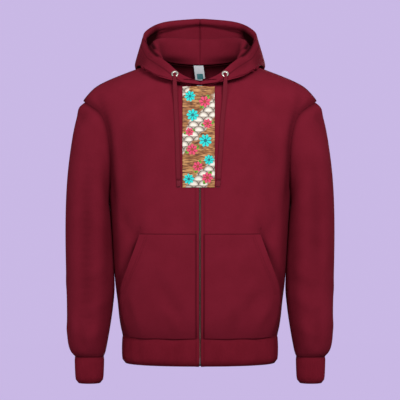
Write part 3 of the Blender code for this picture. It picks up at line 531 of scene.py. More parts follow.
# from the eyelet's mouth to the tip's top
cordRoutes = {
    "Left": (
        (0.0568, -0.1144, -0.0342),
        (0.0571, -0.1166, -0.0333),
        (0.0574, -0.1192, -0.0352),
        (0.0575, -0.1207, -0.0410),
        (0.0572, -0.1216, -0.0500),
        (0.0562, -0.1236, -0.0680),
        (0.0545, -0.1264, -0.0950),
        (0.0500, -0.1328, -0.1400),
        (0.0470, -0.1387, -0.1900),
        (0.0435, -0.1420, -0.2400),
        (0.0412, -0.1434, -0.2750),
    ),
    "Right": (
        (-0.0568, -0.1144, -0.0342),
        (-0.0571, -0.1166, -0.0333),
        (-0.0573, -0.1192, -0.0352),
        (-0.0572, -0.1207, -0.0410),
        (-0.0568, -0.1216, -0.0500),
        (-0.0560, -0.1236, -0.0680),
        (-0.0547, -0.1263, -0.0950),
        (-0.0525, -0.1327, -0.1400),
        (-0.0505, -0.1385, -0.1900),
        (-0.0490, -0.1416, -0.2400),
        (-0.0478, -0.1430, -0.2750),
    ),
}
tipPlan = {
    "length": 0.016, "width": 0.0098, "thickness": 0.0030, "gap": 0.0003, "corner": 0.0009,
    "inside": 0.0135, "filmWidth": 0.0012, "filmThickness": 0.0010, "insideCorner": 0.0006,
}


def flatTube(name, points, radii, plan):
    # a flat cord as a curve of one spline, made a mesh
    curve = bpy.data.curves.new(name, "CURVE")
    curve.dimensions = "3D"
    curve.twist_mode = "MINIMUM"
    curve.bevel_depth = plan["thickness"] / 2
    curve.bevel_resolution = 3
    curve.extrude = plan["width"] / 2 - plan["thickness"] / 2
    curve.use_fill_caps = True
    line = curve.splines.new("POLY")
    line.points.add(len(points) - 1)
    for vertex, point, radius in zip(line.points, points, radii):
        vertex.co = (*point, 1)
        vertex.radius = radius
        vertex.tilt = math.pi / 2
    made = bpy.data.objects.new(name, curve)
    scene.collection.objects.link(made)
    made = baked(made)
    bm = bmesh.new()
    bm.from_mesh(made.data)
    bmesh.ops.remove_doubles(bm, verts=bm.verts, dist=plan["weld"])
    bmesh.ops.recalc_face_normals(bm, faces=bm.faces)
    layer = bm.loops.layers.uv.new("cloth")
    spots = KDTree(len(points))
    for index, point in enumerate(points):
        spots.insert(point, index)
    spots.balance()
    step = plan["length"] / (len(points) - 1)
    for face in bm.faces:
        for loop in face.loops:
            near = spots.find(loop.vert.co)
            loop[layer].uv = (near[1] * step, (loop.vert.co - near[0]).x)
    bm.to_mesh(made.data)
    bm.free()
    made.data.shade_smooth()
    return made


def makeCord(side):
    route = [Vector(point) for point in cordRoutes[side]]
    fine = evenPath(smoothPath(route, cordPlan["perSpan"]), cordPlan["fine"])
    count = cordPlan["points"]
    shares = [(step / count) ** cordPlan["crowding"] for step in range(count + 1)]
    points = [fine[round(cordPlan["fine"] * share)] for share in shares]
    radii = []
    for point in points:
        away = min((point - points[0]).length / cordPlan["bunchReach"], 1.0)
        radii.append(cordPlan["bunch"] + (1 - cordPlan["bunch"]) * eased(away))
    cord = flatTube("drawcord" + side, points, radii, cordPlan)
    cord.data.materials.clear()
    cord.data.materials.append(finishes["cord"])
    down = (points[-1] - points[-2]).normalized()
    tips = makeTip(side, points[-1], down)
    wear(cord, ["drawcord_" + side.lower()])


def softBlock(name, size, corner, matrix, material):
    # a block with all its edges rounded
    bm = bmesh.new()
    bmesh.ops.create_cube(bm, size=1.0)
    bmesh.ops.scale(bm, verts=bm.verts, vec=size)
    bmesh.ops.bevel(bm, geom=bm.edges, offset=corner, segments=3, profile=0.5, affect="EDGES", material=-1)
    bmesh.ops.transform(bm, matrix=matrix, verts=bm.verts)
    mesh = bpy.data.meshes.new(name)
    bm.to_mesh(mesh)
    bm.free()
    mesh.shade_smooth()
    return addObject(name, mesh, [material])


def makeTip(side, end, down):
    up = -down
    across = (Vector((1, 0, 0)) - up * up.x).normalized()
    turn = Matrix((across, up.cross(across), up)).transposed().to_4x4()
    centre = end + down * (tipPlan["gap"] + tipPlan["length"] / 2)
    size = (tipPlan["width"], tipPlan["thickness"], tipPlan["length"])
    film = softBlock("cordTip" + side, size, tipPlan["corner"], Matrix.Translation(centre) @ turn, "film")
    # the cord's end inside the clear tip
    inner = end + down * (tipPlan["gap"] + tipPlan["inside"] / 2)
    size = (tipPlan["width"] - tipPlan["filmWidth"], tipPlan["thickness"] - tipPlan["filmThickness"],
            tipPlan["inside"])
    place = Matrix.Translation(inner) @ turn
    core = softBlock("cordEnd" + side, size, tipPlan["insideCorner"], place, "cord")
    wear(film, ["cord_tip_" + side.lower()])
    wear(core, [])
    return [film, core]


# the wearer's left and right, and the sign of x there
sides = (("Left", 1), ("Right", -1))

for side, sign in sides:
    makeCord(side)
print("drawcords hung")


# Cloth: the outer face of a CAD wall as a grid of quads

skinPlan = {"turn": 50, "weld": 0.00002, "joinWeld": 0.0005, "onBorder": 0.0001,
            "underside": -0.95, "undersideReach": 0.0006}


def outerFace(node, seed, plan):
    # the faces of the wall's outside, grown from the one nearest the seed
    turn = math.radians(plan.get("turn", skinPlan["turn"]))
    bm = bmesh.new()
    bm.from_mesh(frame["nodes"][node].data)
    bmesh.ops.remove_doubles(bm, verts=bm.verts, dist=skinPlan["weld"])
    bm.normal_update()
    tree = BVHTree.FromBMesh(bm)
    bm.faces.ensure_lookup_table()
    bottom = min(vert.co.z for vert in bm.verts) + skinPlan["undersideReach"]
    start = bm.faces[tree.find_nearest(Vector(seed))[2]]
    keep = {start}
    todo = [start]
    while todo:
        face = todo.pop()
        for edge in face.edges:
            if edge.calc_face_angle(math.pi) > turn:
                continue
            for other in edge.link_faces:
                under = other.normal.z < skinPlan["underside"] and other.calc_center_median().z < bottom
                if other not in keep and not under:
                    keep.add(other)
                    todo.append(other)
    # single faces left out at sharp places are taken back in
    closing = [start] if plan.get("closeGaps") else []
    while closing:
        closing = [face for face in bm.faces if face not in keep
                   and sum(not keep.isdisjoint(edge.link_faces) for edge in face.edges) > 1]
        keep.update(closing)
    bmesh.ops.delete(bm, geom=[face for face in bm.faces if face not in keep], context="FACES")
    return bm


def clothSkin(plan):
    # the outside of the piece's nodes as quads, with each vertex's place in the grid
    bm = bmesh.new()
    for node, seed in plan["nodes"]:
        outside = outerFace(node, seed, plan)
        mesh = bpy.data.meshes.new("outside")
        outside.to_mesh(mesh)
        outside.free()
        bm.from_mesh(mesh)
        bpy.data.meshes.remove(mesh)
    weld = skinPlan["joinWeld"] if len(plan["nodes"]) > 1 else skinPlan["weld"]
    bmesh.ops.remove_doubles(bm, verts=bm.verts, dist=weld)
    bm.normal_update()
    bm.verts.layers.float.new("across")
    bm.verts.layers.float.new("up")
    bm.loops.layers.uv.new("cloth")
    rows = gridRows(bm, plan["first"], Vector(plan["origin"]))
    across = bm.verts.layers.float["across"]
    up = bm.verts.layers.float["up"]
    places = {}
    for number, row in enumerate(rows):
        for index, vert in enumerate(row):
            places[vert] = (number, index)
            vert[across] = index / (len(row) - 1)
            vert[up] = number / (len(rows) - 1)
    # the frame's triangles become quads
    slanted = []
    for edge in bm.edges:
        (row0, index0), (row1, index1) = (places[vert] for vert in edge.verts)
        if row0 != row1 and index0 != index1:
            slanted.append(edge)
    bmesh.ops.dissolve_edges(bm, edges=slanted, use_verts=False)
    layClothMap(bm, places, rows)
    odd = sum(len(face.verts) != 4 for face in bm.faces)
    print(plan["nodes"][0][0], "grid of", len(rows), "rows of", len(rows[0]), "odd faces", odd)
    return bm


def gridRows(bm, first, origin):
    # the vertices row by row, counted from the first border
    rank = {vert: 0 for vert in bm.verts if vert.is_boundary and first(vert.co)}
    todo = list(rank)
    for vert in todo:
        for edge in vert.link_edges:
            other = edge.other_vert(vert)
            if other not in rank:
                rank[other] = rank[vert] + 1
                todo.append(other)
    groups = {}
    for vert, number in rank.items():
        groups.setdefault(number, []).append(vert)
    rows = []
    for number in sorted(groups):
        row, isOpen = rowOrder(groups[number], rank, number)
        rows.append(matched(row, isOpen, rows[-1] if rows else None, origin))
    return rows


def rowOrder(verts, rank, number):
    # vertices of one row in walking order, and whether the row has ends
    def beside(vert):
        others = [edge.other_vert(vert) for edge in vert.link_edges]
        return [other for other in others if rank[other] == number]

    ends = [vert for vert in verts if len(beside(vert)) == 1]
    row = [ends[0] if ends else verts[0]]
    seen = set(row)
    while len(row) < len(verts):
        after = [vert for vert in beside(row[-1]) if vert not in seen]
        if not after:
            break
        row.append(after[0])
        seen.add(after[0])
    return row, bool(ends)


def matched(row, isOpen, before, origin):
    # starts and turns a row so that it runs beside the one before
    options = [row, row[::-1]]
    if not isOpen:
        options = [turned[k:] + turned[:k] for turned in options for k in range(len(row))]
    if before is None:
        return min(options, key=lambda option: (option[0].co - origin).length)
    return min(options, key=lambda option: sum((a.co - b.co).length for a, b in zip(option, before)))


def layClothMap(bm, places, rows):
    # cloth coordinates in metres: along the row and up the rows
    layer = bm.loops.layers.uv["cloth"]
    count = len(rows[0])
    walked = sum((b.co - a.co).length for row in rows for a, b in zip(row, row[1:]))
    spacing = walked / (len(rows) * (count - 1))
    rises = [0.0]
    for low, high in zip(rows, rows[1:]):
        rises.append(rises[-1] + sum((b.co - a.co).length for a, b in zip(low, high)) / count)
    for face in bm.faces:
        indexes = [places[loop.vert][1] for loop in face.loops]
        wraps = max(indexes) - min(indexes) > count / 2
        for loop, index in zip(face.loops, indexes):
            if wraps and index < count / 2:
                index += count
            loop[layer].uv = (index * spacing, rises[places[loop.vert][0]])


def smoothed(bm, levels):
    # rounds the grid off and makes it finer
    mesh = bpy.data.meshes.new("grid")
    bm.to_mesh(mesh)
    bm.free()
    made = bpy.data.objects.new("grid", mesh)
    scene.collection.objects.link(made)
    modifier(made, "SUBSURF", levels=levels, render_levels=levels, boundary_smooth="PRESERVE_CORNERS")
    made = baked(made)
    fine = bmesh.new()
    fine.from_mesh(made.data)
    bpy.data.objects.remove(made)
    fine.normal_update()
    return fine


def spotsOf(bm):
    return np.array([vert.co for vert in bm.verts])


def normalsOf(bm):
    return np.array([vert.normal for vert in bm.verts])


def setSpots(bm, spots):
    for vert, spot in zip(bm.verts, spots):
        vert.co = spot
    bm.normal_update()


def nearness(bm, points):
    # distance of every vertex to the nearest of the points, and which one that is
    tree = KDTree(len(points))
    for index, point in enumerate(points):
        tree.insert(point, index)
    tree.balance()
    found = [tree.find(vert.co) for vert in bm.verts]
    return np.array([item[2] for item in found]), np.array([item[1] for item in found])


def borderVerts(bm, border):
    # vertices on one border of the grid, in order: across0, across1, up0 or up1
    name, end = border[:-1], float(border[-1])
    layer = bm.verts.layers.float[name]
    other = bm.verts.layers.float["up" if name == "across" else "across"]
    verts = [vert for vert in bm.verts
             if vert.is_boundary and abs(vert[layer] - end) < skinPlan["onBorder"]]
    return sorted(verts, key=lambda vert: vert[other])


def inFrom(vert, distance):
    # place and normal of the cloth at a distance in from its border
    inner = [edge for edge in vert.link_edges if not edge.is_boundary]
    if not inner:
        return None
    edge = inner[0]
    here = vert
    left = distance
    while True:
        after = edge.other_vert(here)
        span = (after.co - here.co).length
        if span >= left:
            t = left / span
            return here.co.lerp(after.co, t), here.normal.lerp(after.normal, t).normalized()
        left -= span
        beyond = [other for other in after.link_edges if not set(other.link_faces) & set(edge.link_faces)]
        if len(beyond) != 1:
            return after.co.copy(), after.normal.copy()
        here = after
        edge = beyond[0]


anyHeight = (-9, 9)


def rowPath(bm, border, distance, low=anyHeight[0], high=anyHeight[1]):
    # a line of stitches as places and normals beside a border, between two heights
    found = [inFrom(vert, distance) for vert in borderVerts(bm, border) if low <= vert.co.z <= high]
    return [item for item in found if item]


# the middle lines of the lower arms and of the body, which seams are drawn in towards
armCore = {"x": 0.2537, "y": -0.028, "beyond": 0.2, "below": -0.5}
bodyCore = {"breadth": 0.55, "top": -0.12}


def inward(point):
    # the way into the garment from a seam
    if abs(point.x) > armCore["beyond"] and point.z < armCore["below"]:
        core = Vector((math.copysign(armCore["x"], point.x), armCore["y"], point.z))
    else:
        core = Vector((point.x * bodyCore["breadth"], 0, min(point.z, bodyCore["top"])))
    return (core - point).normalized()


# from where a fold's line is thrown onto the cloth: start and way of the ray for two coordinates
views = {
    "front": lambda u, v: (Vector((u, -1, v)), Vector((0, 1, 0))),
    "rear": lambda u, v: (Vector((u, 1, v)), Vector((0, -1, 0))),
    "left": lambda u, v: (Vector((1, u, v)), Vector((-1, 0, 0))),
    "right": lambda u, v: (Vector((-1, u, v)), Vector((1, 0, 0))),
}
foldPlan = {"perSpan": 8, "steps": 24, "gapSteps": 60, "ends": 0.7, "facing": 3, "facingFrom": 0.6,
            "troughShade": 50, "gapEnd": 6, "gapLeast": 0.25}


def bell(away, width):
    return np.exp(-(away / width) ** 2)


def facingShare(side):
    # 1 where the cloth faces the given way, 0 where it is turned off
    return np.clip(side * foldPlan["facing"] + foldPlan["facingFrom"], 0, 1)


def onSide(line, sign):
    # a line given for the wearer's left, on that side or on the right
    return [(sign * x, *rest) for x, *rest in line]


def foldsOn(folds, sign):
    return [(view, onSide(line, sign), *rest) for view, line, *rest in folds]


def foldCloth(bm, folds):
    # soft ridges and troughs along given lines: view, line, half width, height, how dark if given
    tree = BVHTree.FromBMesh(bm)
    spots = spotsOf(bm)
    normals = normalsOf(bm)
    lift = np.zeros(len(spots))
    shade = np.zeros(len(spots))
    for view, line, halfWidth, height, *dark in folds:
        if view == "at":
            points = [Vector(point) for point in line]
            side = 1
        else:
            hits = [tree.ray_cast(*views[view](u, v)) for u, v in line]
            hits = [hit for hit in hits if hit[0]]
            if len(hits) < 2:
                continue
            points = [hit[0] for hit in hits]
            side = normals @ np.array(hits[0][1])
        path = evenPath(smoothPath(points, foldPlan["perSpan"]), foldPlan["steps"])
        away, near = nearness(bm, path)
        fade = np.sin(np.pi * (near + 0.5) / len(path)) ** foldPlan["ends"]
        share = fade * bell(away, halfWidth) * facingShare(side)
        lift += height * share
        # a trough gathers painted shade by its depth, and a fold given a darkness paints that much shade
        shade = np.maximum(shade, share * (dark[0] if dark else max(-height, 0) * foldPlan["troughShade"]))
    setSpots(bm, spots + normals * lift[:, None])
    return shade


clothPlan = {"seamReach": 0.0022, "seamThin": 0.4, "tuckReach": 0.006, "round": 0.0007, "roundFrom": 50}


def sinkSeams(bm, seams):
    # draws the cloth in towards the seams round it: border, depth, width, how dark the seam looks,
    # then, where given, how far the darkness reaches as painted shade and the heights between which it
    # holds
    spots = spotsOf(bm)
    sunk = np.zeros(len(spots))
    shade = np.zeros(len(spots))
    for border, depth, width, dark, *reach in seams:
        above, below = reach[1:] or anyHeight
        away = nearness(bm, [vert.co for vert in borderVerts(bm, border) if above < vert.co.z < below])[0]
        sunk = np.maximum(sunk, depth * bell(away, width))
        shade = np.maximum(shade, dark * bell(away, reach[0] if reach else clothPlan["seamReach"]))
    ways = np.array([inward(vert.co) for vert in bm.verts])
    setSpots(bm, spots + ways * sunk[:, None])
    return shade


def pressIn(bm, share, depth):
    setSpots(bm, spotsOf(bm) - normalsOf(bm) * (share * depth)[:, None])


def cutGaps(made, gaps):
    # deep creases in the finished cloth, painted dark as shade: line, half width, depth, how dark, and the
    # way its surface faces
    if not gaps:
        return
    bm = bmesh.new()
    bm.from_mesh(made.data)
    layer = bm.verts.layers.float["seam"]
    for line, halfWidth, depth, dark, facing in gaps:
        points = [Vector(point) for point in line]
        path = evenPath(smoothPath(points, foldPlan["perSpan"]), foldPlan["gapSteps"])
        away, near = nearness(bm, path)
        fade = np.clip(foldPlan["gapEnd"] * (1 - near / len(path)), foldPlan["gapLeast"], 1)
        share = fade * facingShare(normalsOf(bm) @ np.array(facing)) * bell(away, halfWidth)
        pressIn(bm, share, depth)
        for vert, value in zip(bm.verts, share * dark):
            vert[layer] = max(vert[layer], value)
    bm.to_mesh(made.data)
    bm.free()


stitchPlan = {"pitch": 0.0032, "length": 0.0023, "width": 0.00062, "height": 0.00045, "lift": 0.00008,
              "groove": 0.00035, "grooveReach": 0.0020, "shade": 0.22}


def stitchFrames(path):
    # where each stitch of a row lies
    places = [place for place, normal in path]
    reach = lengthsAlong(places)
    count = max(int(reach[-1] / stitchPlan["pitch"]), 1)
    spots = np.array(places)
    normals = np.array([normal for place, normal in path])
    frames = []
    for step in range(count):
        middle = (step + 0.5) * reach[-1] / count
        ends = [middle - stitchPlan["length"] / 2, middle + stitchPlan["length"] / 2]
        low, high = [Vector([np.interp(end, reach, spots[:, k]) for k in range(3)]) for end in ends]
        if (high - low).length < stitchPlan["length"] / 2:
            continue
        up = Vector([np.interp(middle, reach, normals[:, k]) for k in range(3)]).normalized()
        along = (high - low).normalized()
        side = up.cross(along).normalized()
        turn = Matrix((along, side, along.cross(side))).transposed().to_4x4()
        frames.append(Matrix.Translation((low + high) / 2 + up * stitchPlan["lift"]) @ turn)
    return frames


def stitchTemplate():
    # one stitch: a stretched bead, along x and thin in z
    bm = bmesh.new()
    bmesh.ops.create_icosphere(bm, subdivisions=1, radius=0.5)
    size = (stitchPlan["length"], stitchPlan["width"], stitchPlan["height"])
    bmesh.ops.scale(bm, verts=bm.verts, vec=size)
    bm.verts.index_update()
    return bm


def tuckIn(bm, drop):
    # the lower edge runs on down, inside the piece that it is sewn to
    away = nearness(bm, [vert.co for vert in borderVerts(bm, "up0")])[0]
    setSpots(bm, spotsOf(bm) - bell(away, clothPlan["tuckReach"])[:, None] * np.array((0, 0, drop)))


def sewRows(bm, plan, shade):
    # the rows of stitches lie in shallow grooves, with painted shade along them
    rows = plan.get("rows", ())
    for path in [rowPath(bm, *row) for row in rows]:
        share = bell(nearness(bm, [place for place, normal in path])[0], stitchPlan["grooveReach"])
        pressIn(bm, share, stitchPlan["groove"])
        shade = np.maximum(shade, plan.get("rowShade", stitchPlan["shade"]) * share)
    frames = []
    for row in rows:
        frames.extend(stitchFrames(rowPath(bm, *row)))
    return shade, frames


def thicken(made, wall, plan):
    # the wall goes inwards from the outer face, by a factor at each vertex, and its edges are rounded
    thickest = wall.max()
    group = made.vertex_groups.new(name="wall")
    for index, value in enumerate(wall):
        group.add([index], float(value / thickest), "REPLACE")
    modifier(made, "SOLIDIFY", thickness=plan["thickness"] * float(thickest), offset=-1.0, use_rim=True,
             vertex_group="wall", thickness_vertex_group=0.0)
    modifier(made, "BEVEL", width=plan.get("round", clothPlan["round"]), segments=2, limit_method="ANGLE",
             angle_limit=math.radians(clothPlan["roundFrom"]), profile=0.5)
    return baked(made)


def makeCloth(name, plan):
    # one cut piece: its grid from the frame, folds, seams, rows of stitches, then its thickness
    bm = clothSkin(plan)
    if "before" in plan:
        plan["before"](bm)
    bm = smoothed(bm, plan["levels"])
    folded = foldCloth(bm, plan.get("folds", ()))
    if "shape" in plan:
        plan["shape"](bm)
    seamed = sinkSeams(bm, plan.get("seams", ()))
    if "tuck" in plan:
        tuckIn(bm, plan["tuck"])
    # painted shade laid evenly over the whole piece, for pieces that the light reaches less
    pieceShade = plan.get("pieceShade", 0)
    shade = pieceShade + np.maximum(seamed, folded) * (1 - pieceShade)
    shade, frames = sewRows(bm, plan, shade)
    wall = 1 - clothPlan["seamThin"] * seamed
    if "wall" in plan:
        wall = wall * plan["wall"](bm)
    # dark seam lines and painted shade of folds, hollows and the whole piece go into one attribute
    layer = bm.verts.layers.float.new("seam")
    for vert, value in zip(bm.verts, shade):
        vert[layer] = value
    mesh = bpy.data.meshes.new(name)
    bm.to_mesh(mesh)
    bm.free()
    mesh.shade_smooth()
    made = thicken(addObject(name, mesh, [plan["material"]]), wall, plan)
    cutGaps(made, plan.get("gaps", ()))
    made.data.shade_smooth()
    made.vertex_groups.clear()
    wear(made, [node for node, seed in plan["nodes"]])
    if frames:
        stitches = scatter(name + "Stitches", stitchTemplate(), frames, ["thread"])
        wear(stitches, [])
    print(name, len(made.data.polygons), "faces,", len(frames), "stitches")


zipPlan = {"bandWidth": 0.0098, "bandRise": 0.0007, "bandEdge": 0.0008}


def placketBand(bm):
    # the doubled cloth beside the zip stands a little proud
    spots = spotsOf(bm)
    away = np.abs(spots[:, 0])
    band = 1 / (1 + np.exp((away - zipPlan["bandWidth"]) / zipPlan["bandEdge"]))
    setSpots(bm, spots + normalsOf(bm) * (band * zipPlan["bandRise"])[:, None])


# the folds that both fronts have, for the wearer's left: beside the pocket's opening, along the sleeve's
# seam and under the hood's lower edge, each with painted shade
bothFrontFolds = (
    ("front", ((0.134, -0.376), (0.160, -0.450), (0.190, -0.545)), 0.013, -0.0044, 0.55),
    ("front", ((0.138, -0.398), (0.152, -0.430), (0.164, -0.470)), 0.007, -0.0010, 0.85),
    ("front", ((0.230, -0.072), (0.213, -0.140), (0.202, -0.210), (0.196, -0.330)), 0.013, -0.0018, 0.50),
    ("front", ((0.120, -0.028), (0.100, -0.042), (0.078, -0.051), (0.048, -0.057), (0.022, -0.061)),
     0.004, -0.0010, 0.55),
    ("front", ((0.062, -0.055), (0.046, -0.058), (0.030, -0.060)), 0.005, -0.0010, 0.95),
)
frontFolds = {
    "Left": (
        ("front", ((0.176, -0.345), (0.150, -0.400), (0.118, -0.440)), 0.016, -0.0022),
        ("front", ((0.186, -0.200), (0.178, -0.290), (0.183, -0.380)), 0.016, 0.0020),
        ("front", ((0.150, -0.150), (0.160, -0.230), (0.150, -0.320)), 0.022, -0.0018),
        ("front", ((0.150, -0.545), (0.130, -0.590), (0.120, -0.632)), 0.014, 0.0022),
        ("front", ((0.090, -0.560), (0.078, -0.600), (0.074, -0.632)), 0.014, -0.0016),
        ("front", ((0.100, -0.075), (0.145, -0.105), (0.190, -0.120)), 0.018, -0.0015),
    ),
    "Right": (
        ("front", ((-0.180, -0.335), (-0.160, -0.385), (-0.135, -0.415)), 0.015, -0.0024),
        ("front", ((-0.188, -0.215), (-0.182, -0.300), (-0.186, -0.390)), 0.016, 0.0020),
        ("front", ((-0.155, -0.140), (-0.165, -0.220), (-0.158, -0.330)), 0.022, -0.0020),
        ("front", ((-0.155, -0.550), (-0.138, -0.595), (-0.128, -0.632)), 0.014, 0.0022),
        ("front", ((-0.085, -0.540), (-0.066, -0.590), (-0.050, -0.632)), 0.014, -0.0018),
        ("front", ((-0.110, -0.070), (-0.150, -0.100), (-0.195, -0.130)), 0.018, -0.0016),
    ),
}
for side, sign in sides:
    makeCloth("front" + side, {
        "nodes": (("front_" + side.lower(), (sign * 0.1, -0.5, -0.3)),), "turn": 60, "closeGaps": True,
        "levels": 3, "tuck": 0.0040, "thickness": 0.0025,
        "first": lambda co: co.z < -0.6285, "origin": (0, -0.13, -0.63),
        "material": "fleece", "slot": "burgundy_fleece",
        "folds": [*foldsOn(bothFrontFolds, sign), *frontFolds[side]], "shape": placketBand,
        # the sleeve seam's darkness reaches out as painted shade in the crease, and the neck seam's as
        # painted shadow under the hood
        "seams": (("across1", 0.0042, 0.0100, 0.45, 0.012, -0.29, 9),
                  ("across1", 0.0004, 0.0030, 0.45, 0.014),
                  ("up0", 0.0016, 0.0300, 0.10), ("up1", 0.0030, 0.0080, 0.9)),
        "rows": (("across0", 0.0074), ("up0", 0.0018), ("up0", 0.0072)),
        "flat": (0.300, 0.640), "area": 0.152, "held": "hung", "restsOn": ["back_" + side.lower()],
    })

backFolds = (
    ("rear", ((0.170, -0.330), (0.130, -0.390), (0.080, -0.420)), 0.018, -0.0026),
    ("rear", ((-0.175, -0.345), (-0.140, -0.410), (-0.100, -0.455)), 0.018, -0.0028),
    ("rear", ((0.060, -0.180), (0.075, -0.280), (0.070, -0.400)), 0.024, 0.0020),
    ("rear", ((-0.080, -0.170), (-0.070, -0.260), (-0.085, -0.360)), 0.024, 0.0022),
    ("rear", ((0.120, -0.540), (0.110, -0.590), (0.105, -0.632)), 0.015, 0.0026),
    ("rear", ((0.020, -0.560), (0.010, -0.600), (0.008, -0.632)), 0.015, -0.0020),
    ("rear", ((-0.060, -0.545), (-0.055, -0.590), (-0.050, -0.632)), 0.014, 0.0024),
    ("rear", ((-0.140, -0.550), (-0.130, -0.600), (-0.125, -0.632)), 0.014, -0.0020),
)
makeCloth("backPanel", {
    "nodes": (("back_left", (0.1, 0.5, -0.3)), ("back_right", (-0.1, 0.5, -0.3))), "turn": 60,
    "levels": 3, "tuck": 0.0040, "thickness": 0.0025,
    "first": lambda co: co.z < -0.6285, "origin": (-0.2, 0, -0.63),
    "material": "fleece", "slot": "burgundy_fleece", "folds": backFolds,
    # the seams to the sleeves are darkened as painted shade, and the neck seam's darkness reaches far down
    # the inside as painted shade
    "seams": (("across0", 0.0030, 0.0080, 0.6, 0.004, -0.29, 9),
              ("across1", 0.0030, 0.0080, 0.6, 0.004, -0.29, 9),
              ("across0", 0.0004, 0.0030, 0.5), ("across1", 0.0004, 0.0030, 0.5),
              ("up0", 0.0003, 0.0030, 0.2), ("up1", 0.0020, 0.0060, 0.97, 0.034)),
    "rows": (("up0", 0.0018), ("up0", 0.0072)),
    "flat": (0.600, 0.680), "area": 0.320, "held": "hung", "restsOn": ["hood_left", "hood_right"],
})

# both sleeves: along the seam with the front, and down the side that faces the body, each with painted
# shade; the second paints shade only
bothSleeveFolds = (
    ("front", ((0.230, -0.072), (0.213, -0.140), (0.206, -0.210), (0.206, -0.330)), 0.013, -0.0014, 0.45),
    ("front", ((0.212, -0.330), (0.214, -0.450), (0.220, -0.580), (0.226, -0.660)), 0.014, 0.0, 0.20),
    ("at", ((0.206, -0.020, -0.330), (0.203, -0.020, -0.400), (0.198, -0.020, -0.500),
            (0.200, -0.020, -0.560)), 0.022, 0.0028, 0.20),
)
sleeveFolds = {
    "Left": (
        ("front", ((0.258, -0.200), (0.262, -0.330), (0.262, -0.500)), 0.016, -0.0022, 0.24),
        ("front", ((0.240, -0.240), (0.232, -0.330), (0.236, -0.450)), 0.016, 0.0018),
        ("front", ((0.215, -0.470), (0.240, -0.495), (0.270, -0.500)), 0.013, 0.0018),
        ("front", ((0.214, -0.530), (0.240, -0.556), (0.272, -0.566)), 0.013, 0.0020),
        ("front", ((0.222, -0.600), (0.245, -0.620), (0.272, -0.628)), 0.012, 0.0022),
        ("front", ((0.268, -0.560), (0.266, -0.610), (0.262, -0.662)), 0.010, -0.0022),
        ("front", ((0.238, -0.590), (0.242, -0.630), (0.246, -0.664)), 0.010, 0.0020),
        ("front", ((0.236, -0.105), (0.262, -0.120), (0.285, -0.150)), 0.014, -0.0024),
        ("left", ((0.010, -0.180), (0.030, -0.300), (0.020, -0.430)), 0.020, -0.0024),
        ("left", ((-0.050, -0.500), (0.000, -0.530), (0.040, -0.515)), 0.014, 0.0010),
        ("left", ((-0.060, -0.590), (-0.010, -0.612), (0.025, -0.600)), 0.013, 0.0012),
        ("rear", ((0.255, -0.220), (0.262, -0.330), (0.255, -0.450)), 0.020, -0.0024),
        ("rear", ((0.220, -0.480), (0.250, -0.505), (0.285, -0.500)), 0.014, 0.0026),
        ("rear", ((0.225, -0.580), (0.255, -0.605), (0.290, -0.600)), 0.013, 0.0028),
    ),
    "Right": (
        ("front", ((-0.252, -0.200), (-0.256, -0.330), (-0.258, -0.600)), 0.015, -0.0026, 0.30),
        ("front", ((-0.232, -0.230), (-0.226, -0.330), (-0.230, -0.440)), 0.016, 0.0020),
        ("front", ((-0.214, -0.455), (-0.240, -0.485), (-0.270, -0.490)), 0.013, 0.0018),
        ("front", ((-0.216, -0.545), (-0.245, -0.568), (-0.272, -0.570)), 0.013, 0.0020),
        ("front", ((-0.224, -0.612), (-0.250, -0.630), (-0.272, -0.632)), 0.012, 0.0020),
        ("front", ((-0.272, -0.585), (-0.268, -0.625), (-0.262, -0.664)), 0.010, -0.0022),
        ("front", ((-0.236, -0.600), (-0.242, -0.635), (-0.248, -0.664)), 0.010, 0.0022),
        ("front", ((-0.236, -0.105), (-0.255, -0.112), (-0.280, -0.140)), 0.014, -0.0026),
        ("right", ((0.015, -0.170), (0.025, -0.290), (0.030, -0.420)), 0.020, -0.0024),
        ("right", ((-0.045, -0.490), (0.005, -0.520), (0.045, -0.510)), 0.014, 0.0010),
        ("right", ((-0.060, -0.600), (-0.015, -0.618), (0.020, -0.605)), 0.013, 0.0012),
        ("rear", ((-0.250, -0.230), (-0.260, -0.340), (-0.252, -0.440)), 0.020, -0.0024),
        ("rear", ((-0.222, -0.470), (-0.252, -0.498), (-0.288, -0.492)), 0.014, 0.0026),
        ("rear", ((-0.226, -0.590), (-0.256, -0.612), (-0.290, -0.606)), 0.013, 0.0028),
    ),
}
for side, sign in sides:
    makeCloth("sleeve" + side, {
        "nodes": (("sleeve_" + side.lower() + "_front", (sign * 0.3, -0.5, -0.4)),
                  ("sleeve_" + side.lower() + "_rear", (sign * 0.3, 0.5, -0.4))),
        "levels": 3, "turn": 40, "thickness": 0.0025,
        "first": lambda co: co.z > -0.4, "origin": (sign * 0.2095, 0, -0.315),
        "material": "fleece", "slot": "burgundy_fleece", "pieceShade": 0.10,
        "folds": [*foldsOn(bothSleeveFolds, sign), *sleeveFolds[side]],
        # the armhole seam's darkness reaches out as painted shade in the crease
        "seams": (("up0", 0.0046, 0.0130, 0.6, 0.006), ("up1", 0.0010, 0.0040, 0.4)),
        "rows": (("up1", 0.0020), ("up1", 0.0076)),
        "flat": (0.520, 0.600), "area": 0.235, "held": "hung",
        "restsOn": ["front_" + side.lower(), "back_" + side.lower()],
    })


# Hood: each half with its rolled rim

hoodPlan = {
    "casing": 0.0165, "roll": 1.7, "rimStitch": 0.0185,
    # where the rim sags, for the wearer's left: middle, reach, and how far it goes
    "sags": (((0.112, -0.028, 0.032), 0.026, (0.001, -0.002, -0.010)),
             ((0.118, 0.010, 0.048), 0.022, (0.002, 0.0, -0.006))),
}
